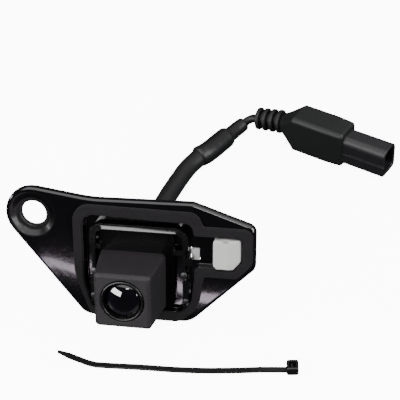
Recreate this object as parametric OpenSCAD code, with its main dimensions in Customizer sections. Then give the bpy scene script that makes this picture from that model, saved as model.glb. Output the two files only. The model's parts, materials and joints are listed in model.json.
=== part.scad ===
// Rear-view camera set for a vehicle tailgate: a pressed steel plate with a foam gasket, a square
// camera head held in a cradle by two latches, a lead with a keyed plug, and one loose cable tie.
// The plate leans back and rests on its lower edge and on the camera's rear housing.
//
// "Plate frame" below means: X to the right, Y up the plate, Z out of its front face, with the
// lens axis at X = 0, Y = 0 and the front face of the sheet at Z = 0.

/* [Placement] */
// Angle by which the plate leans back from upright
lean = 20; // [18:0.5:22]
// Height of the lens axis where it crosses the front face of the plate
lens_height = 17.64; // [17.6:0.02:19]
// Position of the lens axis to the right of the origin
lens_x = -8.7; // [-12:0.1:-5]
// Position of the lens axis behind the origin, at the height of the plate's front face
lens_y = 5.2; // [3:0.1:9]

/* [Mounting plate] */
// Thickness of the steel sheet
sheet = 1.5; // [1:0.1:1.8]
// Depth of the turned-back edge, from the front face
rim_depth = 3.5; // [3:0.1:4]
// Depth of the stamped pocket floor below the front face
pocket_depth = 3; // [2.6:0.1:3.4]
// Radius of the bolt hole
bolt_r = 5.4; // [4:0.1:6]
// Radius of the dished seat around the bolt hole
seat_r = 9.4; // [8:0.1:10]
// Thickness of the foam gasket
gasket_t = 2.4; // [2:0.1:3]

/* [Camera head] */
// Distance from the plate's front face to the front of the hood
hood_front = 19.1; // [18.5:0.1:21]
// Width of the hood at its front
hood_w = 23.3; // [22.5:0.1:23.5]
// Height of the hood's front above the lens axis
hood_up = 11.5; // [11.3:0.1:11.8]
// Height of the hood's front below the lens axis
hood_low = 12.1; // [11.6:0.1:12.3]
// Wall thickness of the hood
hood_wall = 1.9; // [1.5:0.1:2]
// Radius of the lens bezel
bezel_r = 8.9; // [8.5:0.1:9]
// Distance from the plate's front face to the back of the rear housing
housing_back = 20.5; // [20.5:0.1:21]
// Half width of the rear housing
housing_half = 12; // [11.8:0.1:12.2]

/* [Cradle] */
// Height of the cradle rim above the plate's front face
cradle_front = 2.6; // [2.2:0.1:3.2]
// Radius of each latch pin
pin_r = 0.9; // [0.8:0.05:1]

/* [Lead and plug] */
// Diameter of the outer sleeve
sleeve_d = 9; // [8:0.1:9.4]
// Diameter of the long shrink sleeve over the joint
joint_d = 10.8; // [10:0.1:11]
// Diameter of the short shrink sleeve
collar_d = 7.8; // [7:0.1:8.2]
// Diameter of the thin cable into the boot
cable_d = 4.3; // [4:0.1:4.6]
// Height of the plug body, and twice the height of its axis
plug_h = 20.2; // [18:0.1:20.6]
// Width of the plug body
plug_w = 15.4; // [14.6:0.1:16]
// Heading of the plug on the table
plug_heading = -25.5; // [-28:0.5:-23]

/* [Cable tie] */
// Width of the strap
strap_w = 2.5; // [2.3:0.1:2.6]
// Thickness of the strap
strap_t = 1; // [0.9:0.1:1.2]
// Height of the head
tie_head_h = 4; // [3.5:0.1:4.2]

/* [Hidden] */
$fn = 48;
eps = 0.01;
gap = 0.3;

plate_corners = [[-70.5, 43.4, 11.9], [-21.3, -17.5, 7], [24.1, -17.5, 9], [51.3, 9.2, 4],
                 [51.3, 27.7, 4], [25.5, 36.5, 7], [-17.5, 35.8, 60]];
gasket_outer = [[-24.5, 33.8, 7], [-24.5, 3, 20], [-18, -16.2, 4], [20, -16.2, 6], [27.5, -10, 8],
                [30.4, 5.4, 1.5], [44, 5.4, 2], [50.3, 12, 3], [50.3, 27.2, 4], [30, 27.2, 1.5],
                [27.5, 33, 5]];
gasket_inner = [[-20.6, 29.8, 5], [-20.6, -1, 15], [-17, -12.6, 3], [20, -12.6, 4], [25, -7, 6],
                [26.8, 8.8, 1], [42.4, 8.8, 1], [46.1, 13, 1], [46.1, 23.3, 2], [26.3, 23.3, 1],
                [25.2, 28.4, 3.5]];
bolt_pos = [-42.4, 27];
floor_z = -pocket_depth;
floor_back = floor_z - sheet;
bolt_seat_z = -2;
bolt_back_z = -4.5;
bolt_lip_r = 0.6;
rim_t = 1.2;
tongue_window = [[24, 16.3, 0.4], [24, 10.5, 0.4], [28.1, 10.5, 0.4], [28.1, 16.3, 0.4]];

cradle_outer = [[-17.7, 26.2, 6], [-17.7, -9.2, 0], [-17.5, -10, 0], [22, -10, 0], [24, -7.8, 0],
                [24, 26.2, 6]];
cradle_rim_in = [[-14.8, 23.7, 3], [-14.8, -12, 0], [21.6, -12, 0], [21.6, 23.7, 3]];
cradle_wall_in = [[-16.5, 25, 4.8], [-16.5, -12, 0], [22.8, -12, 0], [22.8, 25, 4.8]];
cradle_rim_t = 1.2;
cradle_screw_spots = [[22.7, -6.6], [-16.6, -7]];
cradle_post_r = 1.5;
cradle_recess_r = 1.65;
cradle_screw_r = 0.7;
cradle_hole_r = 0.85;
slot_left = [[-19, 16.9, 0], [-19, 2, 0], [-14, 2, 0], [-14, 16.9, 0]];
slot_right = [[19, 16.6, 0], [19, 2.8, 0], [26, 2.8, 0], [26, 16.6, 0]];
latch_low = -0.7;
latch_high = 1;
latch_pin_left = [-16.2, 4.2];
latch_pin_right = [21.8, 5];
latch_bore_r = pin_r + 0.1;
latch_eye_r = 1.7;
latch_arm_left = 12;
latch_arm_right = 11.2;

base_corners = [[-14.5, 23.4, 3], [-14.5, -12.3, 2], [18, -12.3, 5.5], [18, 23.4, 3]];
base_top = floor_z + 2;
hood_back_half = 13.9;
hood_back_top = 13.2;
hood_back_low = 12.1;
front_wall_z = hood_front - 2;
bezel_back = 15;
bezel_flange_t = 1.2;
bezel_flange_r = bezel_r + 1.3;
front_recess_back = bezel_back - 0.4;

seal_t = 0.6;
housing_front = floor_z - seal_t;
housing_low = 11.3;
housing_top = 12;
housing_wall = 1.6;
housing_corners = [[-housing_half, housing_top, 2], [-housing_half, -housing_low, 2],
                   [housing_half, -housing_low, 2], [housing_half, housing_top, 2]];
screw_spots = [[-9.6, -8.9], [9.6, -8.9], [-9.6, 9.6], [9.6, 9.6]];
spacer_spots = [[-6.6, -6.6], [6.6, -6.6], [-6.6, 7.4], [6.6, 7.4]];
sensor_board_z = -7.2;
signal_board_z = -13.4;
board_t = 1.2;
gland_x = -4;
gland_out = 3;
gland_bore_r = 2.2;

clip_corners = [[34.3, 22.5, 1.4], [34.3, 11.2, 1], [35.6, 9.8, 1], [42.6, 9.8, 0.8],
                [45.6, 13.2, 0.8], [45.6, 22.5, 1]];
clip_front = 3.5;
clip_hole = [[36, 20.6, 0.6], [36, 11.7, 0.6], [43.8, 11.7, 0.6], [43.8, 20.6, 0.6]];
leg_t = 1.3;
leg_root_z = floor_back - 1.2;
leg_len = 5;
leg_x = 39.9;
leg_upper_y = 19.7;
leg_lower_y = 9.9;

plug_axis_z = plug_h / 2;
plug_neck = 9;
plug_body_end = 36.4;
plug_end = 58.6;
boot_tilt = 9.5;
boot_len = 15;
contact_spots = [[-2, -2.4], [2, -2.4], [-2, 2.4], [2, 2.4]];

plug_box = box_outline(-plug_w / 2, -plug_axis_z, plug_w / 2, plug_axis_z, 2.6);
shell_box = [[-6, 7.4, 4], [-6, -7.4, 2.4], [6, -7.4, 2.4], [6, 7.4, 4]];
shell_hollow = box_outline(-4.8, -5.8, 4.8, 5.8, 1.4);

tie_head_l = 4.8;
tie_head_w = 5.2;
pawl_root = [1.4, 0.6];
pawl_root_r = 0.35;

// Centre lines of the lead and of the tie's strap, in the final frame, from the camera to the plug
// and from the tie's tip to its head
gland_end = placed([gland_x, 0, -housing_back - gland_out]);
sleeve_route = [gland_end, gland_end + 6 * back_dir(), [-12.7, 35, 5.7], [-12.7, 42, 4.7],
                [-11.6, 55, 4.6], [-8.8, 70.5, 4.6], [-5.8, 83.5, 4.6], [-2.4, 95.5, 4.6], [1.9, 104, 5]];
joint_route = [[1.9, 104, 5.4], [6.5, 109.5, 5.4], [13.7, 122, 5.4]];
collar_route = [[13.7, 122, 5], [16.8, 127.5, 5], [20.4, 132.5, 5.6]];
cable_route = [[20.4, 132.5, 5.6], [22.2, 134.4, 6.2], [24.7, 135, 7.3], [27, 134.3, 8.1]];
plug_origin = [41.5, 130, plug_axis_z];
strap_route = [[-34, -27.4, 7.6], [-27, -27.2, 4], [-21, -27, 1.2], [-16, -26.8, 0.6],
               [0, -26.3, 0.9], [13, -25.7, 0.6], [25, -24.8, 0.5], [38, -23.4, 0.7],
               [48, -22, 0.9], [58.4, -20.5, 0.5]];

tie_end = strap_route[len(strap_route) - 1];
tie_way = tie_end - strap_route[len(strap_route) - 2];
tie_turn = atan2(tie_way[1], tie_way[0]);

// ---- Vectors ----
function unit(v) = v / norm(v);
function flat(c) = [c[0], c[1]];
function left_of(v) = [-v[1], v[0]];
function spun(v, a) = [v[0] * cos(a) - v[1] * sin(a), v[0] * sin(a) + v[1] * cos(a)];

// The point or direction of the plate frame in the final frame
function turned(v) = [v[0], v[1] * sin(lean) - v[2] * cos(lean), v[1] * cos(lean) + v[2] * sin(lean)];
function placed(p) = turned(p) + [lens_x, lens_y, lens_height];
function back_dir() = turned([0, 0, -1]);

// ---- Outlines ----
// An outline is a list of corners [x, y, radius], counter-clockwise
function corner_arc(c, before, after, r, steps) =
    let (a = unit(before - c), b = unit(after - c), half = acos(a * b) / 2,
         centre = c + unit(a + b) * r / sin(half),
         start = c + a * r / tan(half) - centre, finish = c + b * r / tan(half) - centre,
         sweep = atan2(cross(start, finish), start * finish))
    [for (k = [0:steps]) centre + spun(start, sweep * k / steps)];

function rounded(corners, steps = 8) =
    let (n = len(corners))
    [for (i = [0:n - 1]) each
        let (c = corners[i], before = corners[(i + n - 1) % n], after = corners[(i + 1) % n])
        c[2] == 0 ? [flat(c)] : corner_arc(flat(c), flat(before), flat(after), c[2], steps)];

// The outline moved inwards by d, or outwards where d is negative
function inset(corners, d) =
    let (n = len(corners))
    [for (i = [0:n - 1])
        let (c = flat(corners[i]), e1 = unit(c - flat(corners[(i + n - 1) % n])),
             e2 = unit(flat(corners[(i + 1) % n]) - c), n1 = left_of(e1), n2 = left_of(e2),
             moved = c + (n1 + n2) * d / (1 + n1 * n2), side = cross(e1, e2) > 0 ? 1 : -1)
        [moved[0], moved[1], corners[i][2] == 0 ? 0 : max(0.2, corners[i][2] - side * d)]];

// A box outline from its left, low, right and top sides
function box_outline(l, b, r, t, round_r) = [[l, t, round_r], [l, b, round_r], [r, b, round_r], [r, t, round_r]];

// ---- Routes ----
function curve_point(p, i, t) =
    let (n = len(p) - 1, a = p[i], b = p[i + 1],
         before = i == 0 ? 2 * a - b : p[i - 1], after = i + 1 == n ? 2 * b - a : p[i + 2])
    0.5 * (2 * a + (b - before) * t + (2 * before - 5 * a + 4 * b - after) * t * t
           + (3 * a - before - 3 * b + after) * t * t * t);

function smooth(p, per = 3) =
    [each [for (i = [0:len(p) - 2], k = [0:per - 1]) curve_point(p, i, k / per)], p[len(p) - 1]];

function heading(p, i) = unit(p[min(i + 1, len(p) - 1)] - p[max(i - 1, 0)]);

// ---- Shapes ----
module slab(corners, low, high) translate([0, 0, low]) linear_extrude(high - low) polygon(rounded(corners));

module wall(corners, thickness, low, high)
    translate([0, 0, low]) linear_extrude(high - low) difference() {
        polygon(rounded(corners));
        polygon(rounded(inset(corners, thickness)));
    }

module ring(outer_r, inner_r, low, high)
    translate([0, 0, low]) difference() {
        cylinder(r = outer_r, h = high - low);
        translate([0, 0, -eps]) cylinder(r = inner_r, h = high - low + 2 * eps);
    }

// A solid swept along a route, whose section is a list of [side, up] points
module sweep(route, section) {
    n = len(section);
    rows = len(route);
    points = [for (i = [0:rows - 1])
        let (t = heading(route, i), side = unit(cross(t, [0, 0, 1])), up = cross(side, t))
        for (s = section) route[i] + side * s[0] + up * s[1]];
    sides = [for (i = [0:rows - 2], j = [0:n - 1])
        let (k = (j + 1) % n)
        [i * n + j, i * n + k, (i + 1) * n + k, (i + 1) * n + j]];
    polyhedron(points, concat([[for (j = [n - 1:-1:0]) j]], sides,
                              [[for (j = [0:n - 1]) (rows - 1) * n + j]]));
}

function round_section(d, sides = 10) = [for (k = [0:sides - 1]) d / 2 * [cos(360 * k / sides), sin(360 * k / sides)]];

// A lens blank whose front and back are arcs: radius, edge heights and the rise of each face
module lens(r, low, high, rise_low, rise_high) {
    steps = 8;
    arc = function (edge, rise) [for (k = [0:steps]) let (x = r * k / steps) [x, edge + rise * (1 - x * x / (r * r))]];
    front = arc(high, rise_high);
    back = arc(low, rise_low);
    rotate_extrude() polygon(concat([for (k = [0:steps]) back[k]], [for (k = [steps:-1:0]) front[k]]));
}

// Puts children drawn in the plate frame where the plate stands
module stand() translate([lens_x, lens_y, lens_height]) rotate([90 - lean, 0, 0]) children();

// Puts children drawn along +X in line with the plug
module plug_line() translate(plug_origin) rotate([0, 0, plug_heading]) children();

// ---- Mounting plate and gasket ----
module bolt_seat()
    translate(bolt_pos) rotate_extrude()
        polygon([[seat_r + 1, 0], [seat_r, 0], [seat_r - 2.4, bolt_seat_z], [bolt_r, bolt_seat_z],
                 [bolt_r, bolt_back_z], [bolt_r + 1.5, bolt_back_z], [bolt_r + 2.2, bolt_seat_z - sheet],
                 [seat_r + 1, -sheet]]);

module mount_plate() color([0.04, 0.04, 0.05]) stand() {
    difference() {
        union() {
            slab(plate_corners, -sheet, 0);
            wall(plate_corners, rim_t, -rim_depth, -sheet / 2);
            slab(inset(gasket_inner, -rim_t), floor_back, 0);
        }
        slab(gasket_inner, floor_z, 1);
        slab(box_outline(-housing_half - 0.6, -housing_low - 0.6, housing_half + 0.6, housing_top + 0.6, 2.2),
             floor_back - 1, 1);
        slab(clip_hole, floor_back - 1, 1);
        slab(tongue_window, floor_back - 1, 1);
        translate([bolt_pos[0], bolt_pos[1], -sheet - 1]) cylinder(r = seat_r + bolt_lip_r, h = sheet + 2);
        for (spot = cradle_screw_spots) translate([spot[0], spot[1], floor_back - 1]) cylinder(r = cradle_hole_r, h = 4);
    }
    bolt_seat();
}

module foam_gasket() color([0.18, 0.17, 0.18]) stand()
    difference() {
        slab(gasket_outer, 0, gasket_t);
        slab(gasket_inner, -1, gasket_t + 1);
    }

// ---- Cradle, latches and their pins ----
module cradle_frame() color([0.03, 0.03, 0.03]) stand()
    difference() {
        union() {
            difference() {
                slab(cradle_outer, floor_z, cradle_front);
                slab(cradle_wall_in, floor_z - 1, cradle_front - cradle_rim_t);
                slab(cradle_rim_in, floor_z - 1, cradle_front + 1);
            }
            for (spot = cradle_screw_spots) translate([spot[0], spot[1], floor_z])
                cylinder(r = cradle_post_r, h = cradle_front - cradle_rim_t - floor_z);
        }
        slab(slot_left, latch_low - gap, cradle_front + 1);
        slab(slot_right, latch_low - gap, cradle_front + 1);
        // Holes for the screws, with room for their heads through the rim
        for (spot = cradle_screw_spots) translate([spot[0], spot[1], 0]) {
            translate([0, 0, floor_z - 1]) cylinder(r = cradle_hole_r, h = 8);
            translate([0, 0, cradle_front - cradle_rim_t]) cylinder(r = cradle_recess_r, h = 3);
        }
    }

module cradle_screws() color([0.5, 0.5, 0.52]) stand()
    for (spot = cradle_screw_spots) translate([spot[0], spot[1], 0]) {
        translate([0, 0, floor_back - 1])
            cylinder(r = cradle_screw_r, h = cradle_front - cradle_rim_t + 1 - floor_back);
        translate([0, 0, cradle_front - cradle_rim_t]) cylinder(r = 1.3, h = 0.8);
    }

module latch_pin(spot, foot) translate([spot[0], spot[1], 0]) {
    translate([0, 0, foot]) cylinder(r = pin_r, h = latch_high + gap - foot);
    translate([0, 0, latch_high + gap]) cylinder(r = latch_eye_r - 0.2, h = 0.6);
}

module latch_pins() color([0.45, 0.45, 0.47]) stand() {
    latch_pin(latch_pin_left, base_top);
    latch_pin(latch_pin_right, floor_z);
}

// One latch, drawn from its pin up the plate, with its hook to the right for the left-hand latch
module latch(reach, hook_y, pad, arm) {
    height = latch_high - latch_low;
    difference() {
        union() {
            cylinder(r = latch_eye_r, h = height);
            translate([-0.7, 0, 0]) cube([1.3, arm, height]);
            translate([-0.7, hook_y, 0]) cube([reach + 0.7, 2.2, 1]);
            translate([-pad - 0.7, 4.6, 0]) cube([pad + 0.1, 3.2, height]);
        }
        translate([0, 0, -1]) cylinder(r = latch_bore_r, h = height + 2);
    }
}

module latch_left() color([0.05, 0.05, 0.05]) stand()
    translate([latch_pin_left[0], latch_pin_left[1], latch_low]) latch(2.8, 9.8, 0.1, latch_arm_left);

module latch_right() color([0.05, 0.05, 0.05]) stand()
    translate([latch_pin_right[0], latch_pin_right[1], latch_low]) mirror([1, 0, 0])
        latch(4.7, 8.4, 3, latch_arm_right);

// ---- Camera head ----
module hood_shell(side, low, top, front_side, front_low, front_up, back_z, front_z)
    hull() {
        slab(box_outline(-side, -low, side, top, 2), back_z, back_z + eps);
        slab(box_outline(-front_side, -front_low, front_side, front_up, 1.6), front_z - eps, front_z);
    }

module front_housing() color([0.21, 0.2, 0.21]) stand()
    difference() {
        union() {
            slab(base_corners, floor_z, base_top);
            hood_shell(hood_back_half, hood_back_low, hood_back_top, hood_w / 2, hood_low, hood_up,
                       base_top - eps, hood_front);
        }
        hood_shell(hood_back_half - 3.2, hood_back_low - 2.6, hood_back_top - 2.8, hood_w / 2 - hood_wall,
                   hood_low - hood_wall, hood_up - hood_wall, floor_z - 1, front_wall_z);
        translate([0, 0, front_wall_z - 1]) cylinder(r = bezel_r + 0.15, h = 5);
        translate([0, 0, front_recess_back])
            cylinder(r = bezel_flange_r + 0.15, h = front_wall_z - front_recess_back);
        for (spot = screw_spots) translate([spot[0], spot[1], floor_z - 1]) cylinder(r = 0.8, h = 1 + 1.6);
    }

module lens_bezel() color([0.03, 0.03, 0.03]) stand()
    rotate_extrude() polygon([[7.6, bezel_back], [bezel_flange_r, bezel_back],
        [bezel_flange_r, bezel_back + bezel_flange_t], [bezel_r, bezel_back + bezel_flange_t],
        [bezel_r, hood_front], [bezel_r - 0.4, hood_front + 0.4], [8.1, hood_front + 0.4], [7.6, 17.6]]);

module lens_o_ring() color([0.1, 0.1, 0.1]) stand()
    translate([0, 0, (bezel_back + bezel_flange_t + front_wall_z) / 2])
        rotate_extrude() translate([bezel_r + 0.75, 0])
            circle(r = (front_wall_z - bezel_back - bezel_flange_t) / 2);

module lens_front_element() color([0.1, 0.1, 0.14]) stand() lens(7.55, 15.4, 17, 2, 2.5);

module lens_barrel() color([0.06, 0.06, 0.06]) stand()
    rotate_extrude() polygon([[4.9, -2.4], [6, -2.4], [6, 8], [8.6, 8], [8.6, bezel_back], [7.3, bezel_back],
                              [7.3, 11], [4.9, 11]]);

module lens_inner_elements() color([0.5, 0.6, 0.7]) stand() {
    lens(4.8, -1.8, 0.6, 0.6, 0.8);
    lens(4.8, 3.2, 4.6, 0.5, 0.6);
    lens(4.8, 7.6, 9.4, 0.7, -0.5);
    lens(7.2, 11.2, 12.8, 1.6, 1.4);
}

module lens_holder() color([0.08, 0.08, 0.08]) stand()
    difference() {
        union() {
            slab(box_outline(-7.5, -7.5, 7.5, 7.5, 1), sensor_board_z + board_t, -3.5);
            translate([0, 0, -3.5 - eps]) cylinder(r = 7.4, h = 6.5);
        }
        slab(box_outline(-5.6, -5.6, 5.6, 5.6, 0.5), sensor_board_z, -4.5);
        translate([0, 0, -5]) cylinder(r = 3.8, h = 3);
        translate([0, 0, -3.2]) cylinder(r = 6.05, h = 8);
    }

module ir_filter() color([0.45, 0.75, 0.7]) stand()
    slab(box_outline(-4, -4, 4, 4, 0.2), -3.2, -2.7);

module image_sensor() color([0.25, 0.3, 0.28]) stand() {
    slab(box_outline(-4.8, -4.4, 4.8, 4.4, 0.2), sensor_board_z + board_t, sensor_board_z + board_t + 0.8);
    slab(box_outline(-4, -3.6, 4, 3.6, 0.2), sensor_board_z + board_t + 0.8 - eps, sensor_board_z + board_t + 1.2);
}

module board(low)
    difference() {
        slab(box_outline(-9.6, -8.9, 9.6, 9.6, 0), low, low + board_t);
        for (spot = screw_spots) translate([spot[0], spot[1], low - 1]) cylinder(r = 3, h = board_t + 2);
        for (spot = spacer_spots) translate([spot[0], spot[1], low - 1]) cylinder(r = 0.6, h = board_t + 2);
    }

module sensor_board() color([0.05, 0.3, 0.14]) stand() board(sensor_board_z);

module signal_board() color([0.05, 0.3, 0.14]) stand() board(signal_board_z);

module board_spacers() color([0.72, 0.6, 0.3]) stand()
    for (spot = spacer_spots) translate([spot[0], spot[1], signal_board_z + board_t])
        cylinder(r = 1.3, h = sensor_board_z - signal_board_z - board_t);

module board_chips() color([0.07, 0.07, 0.07]) stand() {
    front = signal_board_z + board_t;
    slab(box_outline(-3.2, -2.6, 2.4, 3, 0), front, front + 0.9);
    slab(box_outline(4, -1.8, 6.6, 1.4, 0), front, front + 1.1);
    slab(box_outline(-2, -7.6, 2, -5.2, 0), front, front + 1);
    translate([5.4, 0.6, signal_board_z - 3.2]) cylinder(r = 2, h = 3.2);
    slab(box_outline(0.6, -7.4, 4.4, -3.6, 0.6), signal_board_z - 2.2, signal_board_z);
}

module cable_header() color([0.85, 0.83, 0.76]) stand()
    difference() {
        slab(box_outline(gland_x - 3.8, -2.4, gland_x + 3.8, 2.4, 0.3), -16.8, signal_board_z);
        for (k = [0:3]) translate([gland_x - 2.4 + 1.6 * k, 0, -18]) cylinder(r = 0.6, h = 2.6);
    }

module lead_wires() color([0.6, 0.12, 0.1]) stand()
    for (k = [0:3]) {
        header_x = gland_x - 2.4 + 1.6 * k;
        gland_wire_x = gland_x - 1.2 + 0.8 * k;
        translate([header_x, 0, -17.1]) cylinder(r = 0.35, h = 1.6);
        hull() {
            translate([header_x, 0, -17.1]) sphere(r = 0.35, $fn = 16);
            translate([gland_wire_x, 0, -18.3]) sphere(r = 0.35, $fn = 16);
        }
        translate([gland_wire_x, 0, -housing_back - gland_out]) cylinder(r = 0.35, h = 5.2);
    }

module housing_seal() color([0.12, 0.12, 0.13]) stand()
    difference() {
        wall(inset(housing_corners, 0.2), 1.2, housing_front, floor_z);
        for (spot = screw_spots) translate([spot[0], spot[1], housing_front - 1]) cylinder(r = 1.1, h = 3);
    }

module rear_housing() color([0.07, 0.07, 0.07]) stand()
    difference() {
        union() {
            wall(housing_corners, housing_wall, -housing_back, housing_front);
            slab(housing_corners, -housing_back, -housing_back + 1.6);
            for (spot = screw_spots) translate([spot[0], spot[1], -housing_back])
                cylinder(r = 2.3, h = housing_back + housing_front);
        }
        for (spot = screw_spots) translate([spot[0], spot[1], -housing_back - 1]) {
            cylinder(r = 1, h = 30);
            cylinder(r = 1.8, h = 2.4);
        }
        translate([gland_x, 0, -housing_back - 1]) cylinder(r = 3.2, h = 4);
    }

module housing_screws() color([0.62, 0.62, 0.64]) stand()
    for (spot = screw_spots) translate([spot[0], spot[1], 0]) {
        translate([0, 0, -housing_back + 1.3]) cylinder(r = 0.8, h = housing_back - 1.3 - 2.4);
        difference() {
            translate([0, 0, -housing_back + 0.1]) cylinder(r = 1.6, h = 1.3);
            translate([-1.1, -0.2, -housing_back - 0.5]) cube([2.2, 0.4, 1.1]);
            translate([-0.2, -1.1, -housing_back - 0.5]) cube([0.4, 2.2, 1.1]);
        }
    }

module cable_gland() color([0.09, 0.09, 0.09]) stand()
    translate([gland_x, 0, -housing_back]) rotate_extrude()
        polygon([[gland_bore_r, -gland_out], [4, -gland_out], [4.4, -1.6], [4.9, -1.6], [4.9, 0], [3.15, 0],
                 [3.15, 1.65], [4.2, 1.65], [4.2, 2.5], [gland_bore_r, 2.5]]);

// ---- Lead and plug ----
module outer_sleeve() color([0.1, 0.1, 0.1]) sweep(smooth(sleeve_route, 2), round_section(sleeve_d, 12));

module joint_sleeve() color([0.08, 0.08, 0.08]) sweep(smooth(joint_route, 4), round_section(joint_d, 12));

module collar_sleeve() color([0.08, 0.08, 0.08]) sweep(smooth(collar_route, 3), round_section(collar_d, 12));

module thin_cable() color([0.1, 0.1, 0.1]) sweep(smooth(cable_route, 3), round_section(cable_d, 10));

module cable_boot() color([0.13, 0.13, 0.13]) plug_line()
    rotate([0, -90 - 6, boot_tilt]) rotate_extrude() union() {
        polygon([[cable_d / 2, 0], [4.6, 0], [3.6, boot_len], [cable_d / 2, boot_len]]);
        for (k = [0:3]) translate([cable_d / 2, 0.7 + 3.8 * k])
            polygon([[0, 0], [3.9 - 0.12 * k, 0], [3.9 - 0.12 * k, 2], [0, 2]]);
    }

// A bar along X whose section is a rounded box outline in Y and Z
module bar(corners, from, to)
    translate([from, 0, 0]) rotate([90, 0, 90]) linear_extrude(to - from) polygon(rounded(corners));

module plug_body() color([0.15, 0.16, 0.16]) plug_line()
    difference() {
        union() {
            bar(plug_box, plug_neck - eps, plug_body_end);
            hull() {
                rotate([0, 90, 0]) cylinder(r = 4.8, h = eps, $fn = 32);
                bar(plug_box, plug_neck - eps, plug_neck);
            }
        }
        bar(inset(shell_box, -0.05), plug_body_end - 8, plug_body_end + 1);
        translate([-1, 0, 0]) rotate([0, 90, 0]) cylinder(r = cable_d / 2, h = 18);
    }

module plug_shell() color([0.15, 0.15, 0.17]) plug_line()
    difference() {
        union() {
            bar(shell_box, plug_body_end - 8, plug_end);
            bar(box_outline(-6.7, -6.8, 0, -1.2, 0.5), plug_body_end, plug_end - 1.2);
        }
        bar(shell_hollow, plug_body_end - 9, plug_end + 1);
        bar(box_outline(-5.6, -4.6, -4, -2.2, 0), plug_body_end + 8, plug_end + 1);
    }

module contact_carrier() color([0.3, 0.3, 0.3]) plug_line()
    difference() {
        bar(inset(shell_hollow, 0.1), plug_body_end - 6, plug_body_end + 8);
        for (spot = contact_spots) translate([plug_body_end - 8, spot[0], spot[1]]) rotate([0, 90, 0])
            cylinder(r = 0.75, h = 20);
    }

module contact_pins() color([0.8, 0.68, 0.4]) plug_line()
    for (spot = contact_spots) translate([plug_body_end - 7, spot[0], spot[1]]) rotate([0, 90, 0]) {
        cylinder(r = 0.7, h = 20.6);
        translate([0, 0, 20.6 - eps]) cylinder(r1 = 0.7, r2 = 0.3, h = 0.9);
    }

// ---- White clip ----
module panel_clip() color([0.85, 0.85, 0.83]) stand() {
    difference() {
        slab(clip_corners, floor_z, clip_front);
        slab(box_outline(38.6, 13, 41.4, 19.4, 0.5), floor_z - 1, clip_front - 2);
    }
    slab(inset(clip_hole, 0.15), floor_back - 0.4, floor_z + eps);
    // Strap behind the pocket floor, up to the L-shaped end beside the cradle
    slab(box_outline(24.3, 12, 43.6, 15.4, 0.4), floor_back - 1.8, floor_back - 0.3);
    difference() {
        slab(box_outline(24.3, 10.8, 27.8, 16, 0.3), floor_back - 1.8, -2.6);
        slab(box_outline(23, 9.8, 25.4, 13.4, 0), -3.6, 0);
    }
}

// A leg, drawn with its round root at the origin, standing down -Z, with its barb towards +Y
module clip_leg()
    translate([-3, 0, 0]) rotate([90, 0, 90]) linear_extrude(6) {
        circle(r = leg_t / 2);
        polygon([[-leg_t / 2, 0], [-leg_t / 2, -leg_len], [leg_t / 2, -leg_len], [leg_t / 2 + 1, -1.4],
                 [leg_t / 2 + 1, -0.9], [leg_t / 2, -0.7], [leg_t / 2, 0]]);
    }

module clip_leg_upper() color([0.85, 0.85, 0.83]) stand()
    translate([leg_x, leg_upper_y, leg_root_z]) clip_leg();

module clip_leg_lower() color([0.85, 0.85, 0.83]) stand()
    translate([leg_x, leg_lower_y, leg_root_z]) mirror([0, 1, 0]) clip_leg();

// ---- Cable tie ----
module tie_strap() color([0.06, 0.06, 0.06]) {
    sweep(smooth(strap_route, 2), [[strap_w / 2, -strap_t / 2], [strap_w / 2, strap_t / 2],
                                   [-strap_w / 2, strap_t / 2], [-strap_w / 2, -strap_t / 2]]);
    translate([tie_end[0], tie_end[1], 0]) rotate([0, 0, tie_turn]) difference() {
        translate([-0.2, -tie_head_w / 2, 0]) cube([tie_head_l, tie_head_w, tie_head_h]);
        translate([0.7, -1.5, -1]) cube([3, 3, tie_head_h + 2]);
    }
}

module tie_pawl() color([0.06, 0.06, 0.06])
    translate([tie_end[0], tie_end[1], 0]) rotate([0, 0, tie_turn])
        translate([0, 1.2, 0]) rotate([90, 0, 0]) linear_extrude(2.4) {
            translate(pawl_root) circle(r = pawl_root_r);
            polygon([[1.05, 0.6], [1.75, 0.6], [2.3, 2.9], [1.5, 3.1]]);
        }

mount_plate();
foam_gasket();
cradle_frame();
cradle_screws();
latch_pins();
latch_left();
latch_right();
front_housing();
lens_bezel();
lens_o_ring();
lens_front_element();
lens_barrel();
lens_inner_elements();
lens_holder();
ir_filter();
image_sensor();
sensor_board();
board_spacers();
signal_board();
board_chips();
cable_header();
lead_wires();
housing_seal();
rear_housing();
housing_screws();
cable_gland();
outer_sleeve();
joint_sleeve();
collar_sleeve();
thin_cable();
cable_boot();
plug_body();
plug_shell();
contact_carrier();
contact_pins();
panel_clip();
clip_leg_upper();
clip_leg_lower();
tie_strap();
tie_pawl();
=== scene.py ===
"""Rear-view camera kit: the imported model's frame, with every visible piece modelled and finished.

Pieces on the plate are modelled in millimetres in the plate's own frame: X to the right, Y up the
plate, Z out of its front face, with the lens axis at X = 0, Y = 0. Pieces on the plug are modelled
along its +X. Each is then put in its place in the row frame, in metres.
"""
import json
import math

import bpy
from mathutils import Matrix, Vector

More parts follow.
